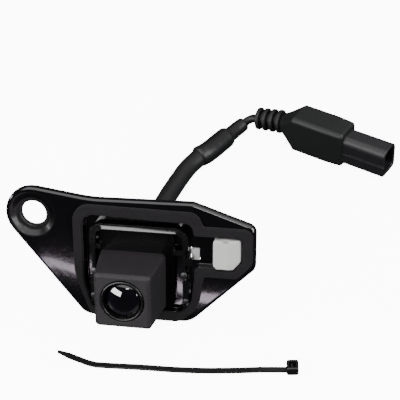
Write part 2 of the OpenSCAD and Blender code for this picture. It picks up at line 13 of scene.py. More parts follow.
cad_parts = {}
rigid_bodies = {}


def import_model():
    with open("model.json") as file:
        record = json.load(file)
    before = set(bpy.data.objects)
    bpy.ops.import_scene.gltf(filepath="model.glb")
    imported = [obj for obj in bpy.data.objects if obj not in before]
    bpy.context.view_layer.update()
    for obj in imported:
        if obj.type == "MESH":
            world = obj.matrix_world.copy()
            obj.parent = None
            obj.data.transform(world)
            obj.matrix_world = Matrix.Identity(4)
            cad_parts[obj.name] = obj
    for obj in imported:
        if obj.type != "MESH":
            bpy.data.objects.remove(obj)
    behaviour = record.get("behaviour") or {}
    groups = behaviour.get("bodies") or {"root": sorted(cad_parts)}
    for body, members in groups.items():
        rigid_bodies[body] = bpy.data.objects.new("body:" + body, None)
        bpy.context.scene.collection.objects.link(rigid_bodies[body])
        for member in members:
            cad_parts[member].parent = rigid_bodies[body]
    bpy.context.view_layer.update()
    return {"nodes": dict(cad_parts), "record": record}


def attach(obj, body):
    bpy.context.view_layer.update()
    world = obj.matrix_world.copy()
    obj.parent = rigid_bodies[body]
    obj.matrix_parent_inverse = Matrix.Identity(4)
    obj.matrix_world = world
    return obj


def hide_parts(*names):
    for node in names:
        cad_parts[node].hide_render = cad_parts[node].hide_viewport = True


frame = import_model()

MM = 0.001
TAU = 2 * math.pi
ARC = 10            # steps in a rounded corner


# ---- Places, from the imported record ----
mounts = {m["name"]: m for m in frame["record"]["mounts"]}
BOLT = Vector((-42.4, 27, -3.25))     # middle of the bolt hole, in the plate's frame
face = Vector(mounts["bolt_hole"]["axis"])
turn = Matrix((Vector((1, 0, 0)), face.cross(Vector((1, 0, 0))), face)).transposed()
STAND = (Matrix.Translation(Vector(mounts["bolt_hole"]["pos_m"]) - turn @ (BOLT * MM))
         @ turn.to_4x4() @ Matrix.Scale(MM, 4))

PLUG_END = 58.6     # from the plug's neck to the shell's open end
plug_way = Vector(mounts["plug_socket"]["axis"])
PLUG = (Matrix.Translation(Vector(mounts["plug_socket"]["pos_m"]) - plug_way * PLUG_END * MM)
        @ Matrix.Rotation(math.atan2(plug_way.y, plug_way.x), 4, "Z") @ Matrix.Scale(MM, 4))
TABLE = Matrix.Scale(MM, 4)

# Centre lines of the lead and of the tie's strap, in millimetres
BACK = -face
gland_end = (STAND @ Vector((-4, 0, -23.5))) / MM
SLEEVE = [gland_end, gland_end + 6 * BACK, (-12.7, 35, 5.7), (-12.7, 42, 4.7), (-11.6, 55, 4.6),
          (-8.8, 70.5, 4.6), (-5.8, 83.5, 4.6), (-2.4, 95.5, 4.6), (1.9, 104, 5)]
JOINT = [(1.9, 104, 5.4), (6.5, 109.5, 5.4), (13.7, 122, 5.4)]
COLLAR = [(13.7, 122, 5), (16.8, 127.5, 5), (20.4, 132.5, 5.6)]
CABLE = [(20.4, 132.5, 5.6), (22.2, 134.4, 6.2), (24.7, 135, 7.3), (27, 134.3, 8.1)]
STRAP = [(-34, -27.4, 7.6), (-27, -27.2, 4), (-21, -27, 1.2), (-16, -26.8, 0.6), (0, -26.3, 0.9),
         (13, -25.7, 0.6), (25, -24.8, 0.5), (38, -23.4, 0.7), (48, -22, 0.9), (58.4, -20.5, 0.5)]


# ---- Camera, floor and light ----
def camera():
    """The view from the right and above, set out from the plate."""
    target = Vector((28.45, 38.45, 0))
    azimuth, elevation, distance = math.radians(10), math.radians(21.5), 422.5
    back = Vector((math.sin(azimuth) * math.cos(elevation), math.sin(elevation),
                   math.cos(azimuth) * math.cos(elevation)))
    right = Vector((0, 1, 0)).cross(back).normalized()
    axes = Matrix((right, back.cross(right), back)).transposed()
    spot = (STAND @ (target + back * distance))
    bpy.ops.object.camera_add()
    seer = bpy.context.object
    seer.matrix_world = Matrix.Translation(spot) @ (turn @ axes).to_4x4()
    seer.data.lens = 95
    seer.data.sensor_width = 36
    bpy.context.scene.camera = seer


def softbox(name, place, aim, size, power, tint=(1, 1, 1)):
    bpy.ops.object.light_add(type="AREA", location=place)
    lamp = bpy.context.object
    lamp.name = name
    lamp.rotation_euler = (Vector(aim) - Vector(place)).to_track_quat("-Z", "Y").to_euler()
    lamp.data.shape = "RECTANGLE"
    lamp.data.size, lamp.data.size_y = size
    lamp.data.energy = power
    lamp.data.color = tint


def fresh():
    if bpy.context.object and bpy.context.object.mode != "OBJECT":
        bpy.ops.object.mode_set(mode="OBJECT")
    bpy.ops.object.select_all(action="DESELECT")


def choose(*pieces):
    fresh()
    for piece in pieces:
        piece.select_set(True)
    bpy.context.view_layer.objects.active = pieces[0]


# ---- Materials ----
class Signal:
    """One output of a shader node, with arithmetic."""

    def __init__(self, paint, socket):
        self.paint, self.socket = paint, socket

    def maths(self, operation, first, second):
        return self.paint.node("ShaderNodeMath", {"operation": operation}, {0: first, 1: second})

    def __add__(self, other): return self.maths("ADD", self, other)
    def __radd__(self, other): return self.maths("ADD", other, self)
    def __sub__(self, other): return self.maths("SUBTRACT", self, other)
    def __rsub__(self, other): return self.maths("SUBTRACT", other, self)
    def __mul__(self, other): return self.maths("MULTIPLY", self, other)
    def __rmul__(self, other): return self.maths("MULTIPLY", other, self)


class Paint:
    """A material whose nodes are made through one method."""

    def __init__(self, name, **constants):
        self.material = bpy.data.materials.new(name)
        self.material.use_nodes = True
        self.tree = self.material.node_tree
        self.shader = self.tree.nodes["Principled BSDF"]
        for socket, value in constants.items():
            self.shader.inputs[socket.replace("_", " ")].default_value = value
        self.place = self.node("ShaderNodeTexCoord", output="Object")

    def feed(self, socket, value):
        if isinstance(value, Signal):
            self.tree.links.new(value.socket, socket)
        else:
            socket.default_value = value

    def node(self, kind, settings=None, inputs=None, output=0):
        made = self.tree.nodes.new(kind)
        for key, value in (settings or {}).items():
            setattr(made, key, value)
        for key, value in (inputs or {}).items():
            self.feed(made.inputs[key], value)
        return Signal(self, made.outputs[output])

    def stretched(self, x, y, z):
        return self.node("ShaderNodeMapping", inputs={"Vector": self.place, "Scale": (x, y, z)})

    def noise(self, scale, detail=3, rough=0.5, at=None):
        return self.node("ShaderNodeTexNoise", inputs={
            "Vector": at or self.place, "Scale": scale, "Detail": detail, "Roughness": rough})

    def cells(self, scale):
        return self.node("ShaderNodeTexVoronoi", inputs={"Vector": self.place, "Scale": scale})

    def ramp(self, value, low, high):
        return self.node("ShaderNodeMapRange", {"interpolation_type": "SMOOTHSTEP"},
                         {"Value": value, "From Min": low, "From Max": high})

    def blend(self, factor, first, second):
        made = self.tree.nodes.new("ShaderNodeMix")
        made.data_type = "RGBA"
        self.feed(made.inputs["Factor"], factor)
        for key, colour in ((6, first), (7, second)):
            self.feed(made.inputs[key], colour if isinstance(colour, Signal) else (*colour, 1))
        return Signal(self, made.outputs[2])

    def colour(self, value): self.feed(self.shader.inputs["Base Color"], value)
    def rough(self, value): self.feed(self.shader.inputs["Roughness"], value)

    def distance(self, start, across=None):
        """The distance from a place, or from the line through it along the direction across."""
        gap = self.node("ShaderNodeVectorMath", {"operation": "SUBTRACT"}, {0: self.place, 1: start})
        if across is not None:
            gap = self.node("ShaderNodeVectorMath", {"operation": "CROSS_PRODUCT"}, {0: gap, 1: across})
        return self.node("ShaderNodeVectorMath", {"operation": "LENGTH"}, {0: gap}, output="Value")

    def relief(self, height, strength, distance):
        bump = self.node("ShaderNodeBump", inputs={
            "Height": height, "Strength": strength, "Distance": distance})
        self.feed(self.shader.inputs["Normal"], bump)


def tone(colour, factor):
    return tuple(min(1, c * factor) for c in colour)


def enamel(name):
    """Glossy black enamel with faint orange peel, duller in the bolt's seat and worn grey in its hole."""
    p = Paint(name, Specular_IOR_Level=0.5, Coat_Roughness=0.06)
    radius = p.distance(STAND @ Vector((BOLT.x, BOLT.y, 0)), face)
    worn = (1 - p.ramp(radius, 6.2 * MM, 7.6 * MM)) * p.ramp(p.noise(2400, 5, 0.7), 0.46, 0.6)
    seat = 1 - p.ramp(radius, 9.9 * MM, 10.5 * MM)
    dust = p.ramp(p.noise(260, 4), 0.55, 0.8) * 0.35
    p.colour(p.blend(worn, (0.0022, 0.0018, 0.0026), (0.03, 0.029, 0.03)))
    p.rough(0.1 + 0.1 * dust + 0.3 * worn + 0.25 * seat)
    p.feed(p.shader.inputs["Coat Weight"], 0.6 - 0.1 * worn - 0.5 * seat)
    p.relief(p.noise(420, 2) * 0.6 + p.noise(2600, 3) * worn * 0.7, 0.10, 0.0004)
    return p.material


def foam(name):
    """Closed-cell foam: fine open pores and a soft, uneven grey."""
    p = Paint(name, Specular_IOR_Level=0.12, Sheen_Weight=0.03, Sheen_Roughness=0.5)
    pores = p.ramp(p.cells(3600), 0.1, 0.42)
    cloud = p.noise(180, 4)
    p.colour(p.blend(cloud, p.blend(pores, (0.0024, 0.0021, 0.0024), (0.0082, 0.0075, 0.0082)),
                     p.blend(pores, (0.0038, 0.0033, 0.0038), (0.0128, 0.0115, 0.0128))))
    p.rough(0.82 + 0.12 * cloud)
    p.relief(pores * 0.7 + p.noise(900, 3) * 0.6, 0.5, 0.00016)
    return p.material


def moulded(name, base, rough, grain=2600, depth=0.00005, strength=0.35, wear=0.25, **constants):
    """Spark-textured moulded plastic: fine grain, cloudy tone, and lighter rubbed spots."""
    p = Paint(name, **constants)
    speckle = p.noise(grain, 4, 0.6)
    cloud = p.noise(90, 3)
    rub = p.ramp(p.noise(320, 5, 0.7), 0.62, 0.78) * wear
    grained = p.blend(cloud * 0.5 + speckle * 0.5, tone(base, 0.78), tone(base, 1.22))
    p.colour(p.blend(rub, grained, tone(base, 1.9)))
    p.rough(rough - 0.06 + 0.1 * cloud + 0.06 * speckle)
    p.relief(speckle, strength, depth)
    return p.material


def hood_finish(name):
    """Spark-textured charcoal on the hood; the base flange behind it is polished, and its near-black colour
    is painted shade of the recess round the hood.
    """
    p = Paint(name, Specular_IOR_Level=0.28)
    level_there = p.node("ShaderNodeVectorMath", {"operation": "DOT_PRODUCT"},
                         {0: p.place, 1: face}, output="Value")
    start = (STAND @ Vector((0, 0, -0.97))).dot(face)
    on_hood = p.ramp(level_there, start, start + 0.25 * MM)
    speckle, cloud = p.noise(2600, 4, 0.6), p.noise(90, 3)
    rub = p.ramp(p.noise(320, 5, 0.7), 0.64, 0.8) * 0.25
    charcoal = p.blend(cloud * 0.5 + speckle * 0.5, (0.0134, 0.0119, 0.0132), (0.0205, 0.0185, 0.0204))
    # The base flange's near-black is painted shade of the recess; the hood's charcoal has grain and rubbed
    # spots
    p.colour(p.blend(on_hood, (0.0012, 0.0012, 0.0014), p.blend(rub, charcoal, (0.026, 0.024, 0.026))))
    p.rough(0.08 + on_hood * 0.38 + 0.1 * cloud + 0.06 * speckle)
    p.relief(speckle * on_hood, 0.35, 0.00005)
    return p.material


def gloss(name, base, rough=0.12, coat=0.3, ripple=300):
    """Polished moulded plastic with a slow ripple and fine hairlines."""
    p = Paint(name, Coat_Weight=coat, Coat_Roughness=0.08)
    streak = p.noise(1, 3, at=p.stretched(2600, 300, 900))
    cloud = p.noise(150, 3)
    p.colour(p.blend(cloud, tone(base, 0.8), tone(base, 1.3)))
    p.rough(rough + 0.08 * streak + 0.06 * cloud)
    p.relief(p.noise(ripple, 2) + streak * 0.15, 0.12, 0.0003)
    return p.material


def rubbery(name, base, rough, lay=(1, 1, 1), fine=1500, depth=0.00008):
    """Soft PVC or rubber: dull sheen, drawn-out marks and specks of dust."""
    p = Paint(name, Specular_IOR_Level=0.42)
    drawn = p.noise(fine, 3, 0.55, at=p.stretched(*lay))
    dust = p.ramp(p.noise(2400, 4, 0.7), 0.66, 0.8)
    cloud = p.noise(140, 3)
    p.colour(p.blend(dust * 0.3, p.blend(cloud, tone(base, 0.75), tone(base, 1.25)), tone(base, 2.6)))
    p.rough(rough + 0.14 * drawn - 0.07 + 0.05 * cloud)
    p.relief(drawn * 0.7 + cloud * 0.5, 0.3, depth)
    return p.material


def nylon(name, base, subsurface=0.25, rough=0.42):
    """Milky translucent nylon with flow marks and faint yellowing."""
    p = Paint(name, Subsurface_Weight=subsurface, Subsurface_Radius=(0.002, 0.0018, 0.0015),
              Subsurface_Scale=1)
    flow = p.noise(1, 4, 0.6, at=p.stretched(260, 700, 260))
    stain = p.ramp(p.noise(230, 4, 0.6), 0.56, 0.74)
    yellowed = tuple(c * k for c, k in zip(base, (0.8, 0.74, 0.66)))
    p.colour(p.blend(stain * 0.35, p.blend(flow, tone(base, 0.93), tone(base, 1.06)), yellowed))
    p.rough(rough + 0.12 * flow)
    p.relief(flow + p.noise(2200, 2) * 0.3, 0.2, 0.0001)
    return p.material


def steel(name, base, rough, lay=(1, 1, 1)):
    """Plated metal with turning marks and dull patches."""
    p = Paint(name, Metallic=1)
    marks = p.noise(3200, 3, 0.6, at=p.stretched(*lay))
    dull = p.ramp(p.noise(500, 4), 0.5, 0.75)
    p.colour(p.blend(dull, base, tone(base, 0.62)))
    p.rough(rough + 0.15 * marks + 0.2 * dull)
    p.relief(marks, 0.2, 0.00003)
    return p.material


def lens_coat(name):
    """Dark coated glass: nearly black, with the coating's violet tint painted lighter towards the edge as a
    painted edge reflection.
    """
    p = Paint(name, Coat_Weight=0.6, Coat_Roughness=0.01, IOR=1.5, Specular_IOR_Level=0.5)
    coating_tint_and_edge_sheen = p.ramp(p.distance(STAND @ Vector((0, 0, 17))), 2.6 * MM, 7.4 * MM)
    dark = p.blend(p.noise(260, 2), (0.0003, 0.0003, 0.0005), (0.0006, 0.0005, 0.0009))
    # The violet towards the edge is the coating's tint plus a painted reflection
    p.colour(p.blend(coating_tint_and_edge_sheen, dark, (0.0016, 0.001, 0.0024)))
    p.rough(0.02 + 0.02 * p.noise(700, 2))
    return p.material


def clear_glass(name, tint):
    p = Paint(name, Coat_Weight=0.5, IOR=1.6, Transmission_Weight=0.6)
    smear = p.noise(400, 3)
    p.colour(p.blend(smear, tint, tone(tint, 0.7)))
    p.rough(0.03 + 0.04 * smear)
    return p.material


def circuit(name):
    """Green solder mask over copper tracks and tinned pads."""
    p = Paint(name, Coat_Weight=0.4, Coat_Roughness=0.15)
    tracks = p.node("ShaderNodeTexBrick", {"offset": 0.37}, {
        "Vector": p.place, "Scale": 420, "Mortar Size": 0.06, "Color1": (0, 0, 0, 1), "Color2": (0, 0, 0, 1),
        "Mortar": (1, 1, 1, 1)}, output="Fac")
    pads = 1 - p.ramp(p.cells(620), 0.12, 0.2)
    p.colour(p.blend(pads, p.blend(tracks, (0.008, 0.075, 0.032), (0.02, 0.15, 0.06)), (0.5, 0.48, 0.42)))
    p.rough(0.3 + 0.2 * p.noise(500, 3))
    p.relief(tracks * 0.5 + pads, 0.3, 0.00005)
    return p.material


FINISH = {
    "plate_enamel": enamel("plate_enamel"),
    "gasket_foam": foam("gasket_foam"),
    "cradle_black": gloss("cradle_black", (0.0014, 0.0014, 0.0016), 0.1, 1),
    "hood_charcoal": hood_finish("hood_charcoal"),
    "housing_black": moulded("housing_black", (0.005, 0.005, 0.0053), 0.42, Specular_IOR_Level=0.35),
    "bezel_black": gloss("bezel_black", (0.0015, 0.0015, 0.0017), 0.2, 0.2),
    "lens_glass": lens_coat("lens_glass"),
    "filter_glass": clear_glass("filter_glass", (0.35, 0.7, 0.65)),
    "barrel_black": steel("barrel_black", (0.03, 0.03, 0.032), 0.35),
    "seal_rubber": rubbery("seal_rubber", (0.0055, 0.0056, 0.0056), 0.55),
    "screw_steel": steel("screw_steel", (0.085, 0.085, 0.09), 0.3),
    "spacer_brass": steel("spacer_brass", (0.66, 0.48, 0.2), 0.25),
    "board_green": circuit("board_green"),
    "chip_black": moulded("chip_black", (0.006, 0.006, 0.0065), 0.45),
    "header_cream": nylon("header_cream", (0.72, 0.68, 0.56), 0.1),
    "wire_red": rubbery("wire_red", (0.4, 0.03, 0.025), 0.4),
    "lead_pvc": rubbery("lead_pvc", (0.0075, 0.0075, 0.0078), 0.42, (6, 1, 6)),
    "shrink_black": rubbery("shrink_black", (0.0055, 0.0055, 0.0058), 0.38, (2, 1, 2), 900, 0.00015),
    "plug_black": moulded("plug_black", (0.0072, 0.0078, 0.0076), 0.46, 2200, Specular_IOR_Level=0.4),
    "shell_black": moulded("shell_black", (0.0085, 0.008, 0.0095), 0.4, 2600, Specular_IOR_Level=0.5),
    "carrier_grey": moulded("carrier_grey", (0.006, 0.006, 0.0062), 0.5),
    "contact_tin": steel("contact_tin", (0.7, 0.64, 0.5), 0.22),
    "nylon_white": nylon("nylon_white", (0.46, 0.46, 0.45)),
    "tie_nylon": gloss("tie_nylon", (0.003, 0.003, 0.0033), 0.25, 0.1, 600),
}


# ---- Outlines: lists of corners (x, y, radius), counter-clockwise ----
def rounded(corners, steps=ARC):
    points = []
    for k, (x, y, r) in enumerate(corners):
        here = Vector((x, y))
        if r == 0:
            points.append(here)
            continue
        a = (Vector(corners[k - 1][:2]) - here).normalized()
        b = (Vector(corners[(k + 1) % len(corners)][:2]) - here).normalized()
        half = a.angle(b) / 2
        centre = here + (a + b).normalized() * r / math.sin(half)
        start = here + a * r / math.tan(half) - centre
        finish = here + b * r / math.tan(half) - centre
        sweep = math.atan2(start.x * finish.y - start.y * finish.x, start.dot(finish))
        points += [centre + Matrix.Rotation(sweep * i / steps, 2) @ start for i in range(steps + 1)]
    return points


def inset(corners, d):
    moved = []
    for k, (x, y, r) in enumerate(corners):
        here = Vector((x, y))
        e1 = (here - Vector(corners[k - 1][:2])).normalized()
        e2 = (Vector(corners[(k + 1) % len(corners)][:2]) - here).normalized()
        n1, n2 = Vector((-e1.y, e1.x)), Vector((-e2.y, e2.x))
        spot = here + (n1 + n2) * d / (1 + n1.dot(n2))
        side = 1 if e1.x * e2.y - e1.y * e2.x > 0 else -1
        moved.append((spot.x, spot.y, 0 if r == 0 else max(0.15, r - side * d)))
    return moved


def box_outline(left, low, right, top, r):
    return [(left, top, r), (left, low, r), (right, low, r), (right, top, r)]


def circle(centre, r, count=48):
    return [Vector((centre[0] + r * math.cos(TAU * k / count), centre[1] + r * math.sin(TAU * k / count)))
            for k in range(count)]


def half_circle(centre, r, start, steps):
    """Sharp corners along half a turn, from the start angle."""
    turns = [start + math.pi * k / steps for k in range(steps + 1)]
    return [(centre[0] + r * math.cos(t), centre[1] + r * math.sin(t), 0) for t in turns]


def level(points, z):
    return [Vector((p[0], p[1], z)) for p in points]


def ring(corners, d, z, steps=ARC):
    """The outline moved in by d, at height z."""
    return level(rounded(inset(corners, d), steps), z)


def stack(corners, pairs, steps=ARC):
    """Rings of one outline, one for each (inset, height)."""
    return [ring(corners, d, z, steps) for d, z in pairs]


def upright(points, x):
    """An outline in Y and Z at one X."""
    return [Vector((x, p[0], p[1])) for p in points]


def fillet(start, finish, steps=4):
    """(inset, height) pairs along a quarter turn, from one pair to the other, bulging at the corner
    that has the start's inset and the finish's height."""
    (d0, z0), (d1, z1) = start, finish
    turns = [math.pi / 2 * k / steps for k in range(steps + 1)]
    return [(d1 + (d0 - d1) * math.cos(t), z0 + (z1 - z0) * math.sin(t)) for t in turns]


# ---- Modelling ----
def skin(rings, caps=False):
    """A tube through rings of equal length, from a grid rolled up, with its ends closed if asked."""
    fresh()
    round_count, rows = len(rings[0]), len(rings)
    bpy.ops.mesh.primitive_grid_add(x_subdivisions=round_count, y_subdivisions=rows - 1, size=1)
    piece = bpy.context.object
    spots = [r[k % round_count] for r in rings for k in range(round_count + 1)]
    for vertex, spot in zip(piece.data.vertices, spots, strict=True):
        vertex.co = spot
    bpy.ops.object.mode_set(mode="EDIT")
    bpy.ops.mesh.select_all(action="SELECT")
    bpy.ops.mesh.remove_doubles(threshold=1e-5)
    if caps:
        bpy.ops.mesh.fill_holes(sides=0)
    fresh()
    return piece


def loop(points):
    fresh()
    bpy.ops.mesh.primitive_circle_add(vertices=len(points), fill_type="NOTHING")
    piece = bpy.context.object
    for vertex, spot in zip(piece.data.vertices, points, strict=True):
        vertex.co = spot
    return piece


def flat(*loops):
    """A flat face inside the first loop, with the other loops as holes."""
    pieces = [loop(points) for points in loops]
    choose(*pieces)
    if len(pieces) > 1:
        bpy.ops.object.join()
    bpy.ops.object.mode_set(mode="EDIT")
    bpy.ops.mesh.select_all(action="SELECT")
    bpy.ops.mesh.fill(use_beauty=True)
    fresh()
    return pieces[0]


def weld(name, *pieces):
    """The pieces joined along the rings that they share, with their faces outwards."""
    choose(*pieces)
    if len(pieces) > 1:
        bpy.ops.object.join()
    piece = bpy.context.object
    piece.name = piece.data.name = name
    bpy.ops.object.mode_set(mode="EDIT")
    bpy.ops.mesh.select_all(action="SELECT")
    bpy.ops.mesh.remove_doubles(threshold=1e-3)
    bpy.ops.mesh.normals_make_consistent(inside=False)
    fresh()
    return piece


def slab(corners, low, high, steps=ARC):
    """A plate of that outline between two heights."""
    fresh()
    points = rounded(corners, steps)
    bpy.ops.mesh.primitive_circle_add(vertices=len(points), fill_type="NGON")
    piece = bpy.context.object
    for vertex, spot in zip(piece.data.vertices, points, strict=True):
        vertex.co = (spot[0], spot[1], low)
    bpy.ops.object.mode_set(mode="EDIT")
    bpy.ops.mesh.select_all(action="SELECT")
    bpy.ops.mesh.extrude_region_move(TRANSFORM_OT_translate={"value": (0, 0, high - low)})
    bpy.ops.mesh.select_all(action="SELECT")
    bpy.ops.mesh.normals_make_consistent(inside=False)
    fresh()
    return piece


def rod(centre, r, low, high, count=32):
    """A round bar along Z."""
    return weld("rod", skin([level(circle(centre, r, count), z) for z in (low, high)], caps=True))


def spun(profile, count=64):
    """A closed profile of (radius, height) pairs turned about Z."""
    fresh()
    bpy.ops.mesh.primitive_circle_add(vertices=len(profile), fill_type="NOTHING")
    piece = bpy.context.object
    for vertex, (r, z) in zip(piece.data.vertices, profile, strict=True):
        vertex.co = (r, 0, z)
    bpy.ops.object.mode_set(mode="EDIT")
    bpy.ops.mesh.select_all(action="SELECT")
    bpy.ops.mesh.spin(steps=count, angle=TAU, center=(0, 0, 0), axis=(0, 0, 1))
    bpy.ops.mesh.select_all(action="SELECT")
    bpy.ops.mesh.remove_doubles(threshold=1e-4)
    bpy.ops.mesh.normals_make_consistent(inside=False)
    fresh()
    return piece


def modify(piece, kind, **settings):
    choose(piece)
    modifier = piece.modifiers.new(kind.lower(), kind)
    for key, value in settings.items():
        setattr(modifier, key, value)
    bpy.ops.object.modifier_apply(modifier=modifier.name)
    return piece


def carve(piece, *tools, how="DIFFERENCE"):
    for tool in tools:
        modify(piece, "BOOLEAN", object=tool, operation=how, solver="EXACT")
        bpy.data.objects.remove(tool)
    return piece


def soften(piece, width, segments=3, angle=35):
    """Rounded edges, with flat faces that stay flat in the light."""
    return modify(piece, "BEVEL", width=width, segments=segments, limit_method="ANGLE",
                  angle_limit=math.radians(angle), use_clamp_overlap=True, miter_outer="MITER_ARC")


def put(piece, where):
    """Moves a piece's mesh by the matrix, and leaves its object at the origin."""
    choose(piece)
    piece.matrix_world = where
    bpy.ops.object.transform_apply(location=True, rotation=True, scale=True)
    return piece


def done(piece, name, finish, *nodes, body="root", where=STAND, smooth=35, weighted=True):
    """Names, places, finishes and attaches a piece that stands for these CAD nodes."""
    piece.name = piece.data.name = name
    put(piece, where)
    choose(piece)
    bpy.ops.object.shade_smooth_by_angle(angle=math.radians(smooth))
    if weighted:
        modify(piece, "WEIGHTED_NORMAL", keep_sharp=True, weight=80)
    piece.data.materials.clear()
    piece.data.materials.append(FINISH[finish])
    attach(piece, body)
    if nodes:
        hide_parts(*nodes)
    return piece


# ---- Routes ----
def smooth_route(points, per=6):
    """A curve through the points, as in the design's own routes."""
    points = [Vector(p) for p in points]
    route = []
    for k in range(len(points) - 1):
        a, b = points[k], points[k + 1]
        before = points[k - 1] if k else 2 * a - b
        after = points[k + 2] if k + 2 < len(points) else 2 * b - a
        for i in range(per):
            t = i / per
            route.append(0.5 * (2 * a + (b - before) * t + (2 * before - 5 * a + 4 * b - after) * t * t
                                + (3 * a - before - 3 * b + after) * t ** 3))
    return route + [points[-1]]


def route_length(route):
    return sum((b - a).length for a, b in zip(route, route[1:]))


def framed(route):
    """For each point of a route: the point, its side, its upward direction and the distance along."""
    rows, gone = [], 0
    for k, here in enumerate(route):
        way = (route[min(k + 1, len(route) - 1)] - route[max(k - 1, 0)]).normalized()
        side = way.cross(Vector((0, 0, 1))).normalized()
        gone += (here - route[k - 1]).length if k else 0
        rows.append((here, side, side.cross(way), gone))
    return rows


def hose(name, route, radius, count=28):
    """A tube along a route, whose radius is a function of the distance along it and of the angle."""
    turns = [TAU * k / count for k in range(count)]
    rings = [[here + (side * math.cos(t) + up * math.sin(t)) * radius(gone, t) for t in turns]
             for here, side, up, gone in framed(route)]
    return weld(name, skin(rings, caps=True))


def cord_curve(name, route, diameter):
    fresh()
    line = bpy.data.curves.new(name, "CURVE")
    line.dimensions = "3D"
    line.bevel_depth = diameter / 2 * MM
    line.bevel_resolution = 8
    line.use_fill_caps = True
    spline = line.splines.new("POLY")
    spline.points.add(len(route) - 1)
    for point, spot in zip(spline.points, route, strict=True):
        point.co = (*(spot * MM), 1)
    spline.use_smooth = True
    piece = bpy.data.objects.new(name, line)
    bpy.context.collection.objects.link(piece)
    return piece


camera()


# ---- The lead ----
SLEEVE_D, JOINT_D, COLLAR_D, CABLE_D = 9, 10.8, 7.8, 4.3


def lead():
    """The thick sleeve, two shrink sleeves and the thin cable, from the gland to the boot."""
    thick = cord_curve("lead_outer_sleeve", smooth_route(SLEEVE), SLEEVE_D)
    thin_line = smooth_route([*JOINT[:-1], *COLLAR[:-1], *CABLE])
    thin = cord_curve("lead_thin_cable", thin_line, CABLE_D)
    for piece, node in ((thick, "outer_sleeve"), (thin, "thin_cable")):
        piece.data.materials.append(FINISH["lead_pvc"])
        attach(piece, "root")
        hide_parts(node)

    def shrink(high, at_start, at_end, length):
        """The radius along a shrink sleeve: tapered, a little wavy, and drawn in at both ends."""
        def radius(gone, angle):
            lip = 1 - 0.09 * (math.exp(-gone / 0.5) + math.exp(-(length - gone) / 0.5))
            share = gone / length
            ripple = 0.005 * math.sin(3 * angle + gone * 0.9) + 0.005 * math.sin(gone * 1.7)
            return min(high, (at_start + (at_end - at_start) * share) * (1 + ripple)) * lip
        return radius

    joint_line = smooth_route(JOINT, 16)
    collar_line = smooth_route(COLLAR, 12)
    joint = hose("joint", joint_line, shrink(JOINT_D / 2 - 0.02, 5.33, 5.25, route_length(joint_line)))
    collar = hose("collar", collar_line, shrink(COLLAR_D / 2 - 0.02, 3.85, 3.7, route_length(collar_line)))
    for piece, node in ((joint, "joint_sleeve"), (collar, "collar_sleeve")):
        done(piece, "lead_" + node, "shrink_black", node, where=TABLE, smooth=60, weighted=False)
    return thick, thin, joint, collar, thin_line


def boot():
    """The ribbed strain relief behind the plug: four ribs, each a little smaller than the last."""
    profile = [(2.15, 0), (4.5, 0)]
    for k in range(4):
        at, r = 0.85 + 3.8 * k, 6 - 0.12 * k
        profile += [(3.7 - 0.1 * k, at - 0.2), (r - 0.5, at), (r - 0.1, at + 0.25), (r, at + 0.6),
                    (r, at + 1.3), (r - 0.1, at + 1.65), (r - 0.5, at + 1.9), (3.65 - 0.1 * k, at + 2.1)]
    profile += [(3, 14.9), (2.15, 15)]
    piece = spun(profile, 56)
    tilt = Matrix.Rotation(math.radians(9.5), 4, "Z") @ Matrix.Rotation(math.radians(-96), 4, "Y")
    return done(piece, "plug_boot", "seal_rubber", "cable_boot", where=PLUG @ tilt, smooth=50)


# ---- The plug ----
PLUG_BODY_END, PLUG_NECK, PLUG_HALF_W, PLUG_HALF_H = 36.4, 9, 7.7, 10.1
NECK_HALF, NECK_R, BODY_R, CREASE = 4.75, 4.6, 2.6, 27.5
# The shell in Y and Z, with a groove along its front side, and its hollow
SHELL_BOX = [(-6, 7.4, 4), (-6, -0.4, 0.15), (-5.3, -0.5, 0.1), (-5.3, -1.2, 0.1), (-6.2, -1.3, 0.15),
             (-6.2, -6.8, 0.5), (-5.2, -7, 0.8), (-4.2, -7.4, 0.8), (6, -7.4, 2.4), (6, 7.4, 4)]
SHELL_HOLLOW = [(-4.3, 5.8, 2.2), (-4.3, -5.8, 1.6), (4.3, -5.8, 1.6), (4.3, 5.8, 2.2)]


def plug_body():
    """The overmoulded body: a neck that widens into a box with rounded ends."""
    def section(w, h, r, x):
        return upright(rounded(box_outline(-w, -h, w, h, r), 6), x)

    rings = []
    for k in range(9):
        share = k / 8
        ease = share ** 1.15
        w, h = (NECK_HALF + (half - NECK_HALF) * ease for half in (PLUG_HALF_W, PLUG_HALF_H))
        rings.append(section(w, h, NECK_R + (BODY_R - NECK_R) * share, PLUG_NECK * share))
    rings += [section(PLUG_HALF_W, PLUG_HALF_H, BODY_R, x) for x in (PLUG_NECK + 0.8, CREASE)]
    # The last part narrows a little towards the shell, from a crease
    end_round, narrow = 1.5, 0.4
    for d, x in fillet((narrow, PLUG_BODY_END - end_round), (narrow + end_round, PLUG_BODY_END), 6):
        rings.append(section(PLUG_HALF_W - d, PLUG_HALF_H - d, BODY_R - 0.5 * d, x))
    seat = [upright(rounded(inset(SHELL_BOX, -0.03), 6), x) for x in (PLUG_BODY_END, PLUG_BODY_END - 7)]
    piece = weld("body", skin(rings), flat(rings[0]), flat(rings[-1], seat[0]), skin(seat), flat(seat[1]))
    return done(piece, "plug_body_moulding", "plug_black", "plug_body", where=PLUG, smooth=32)


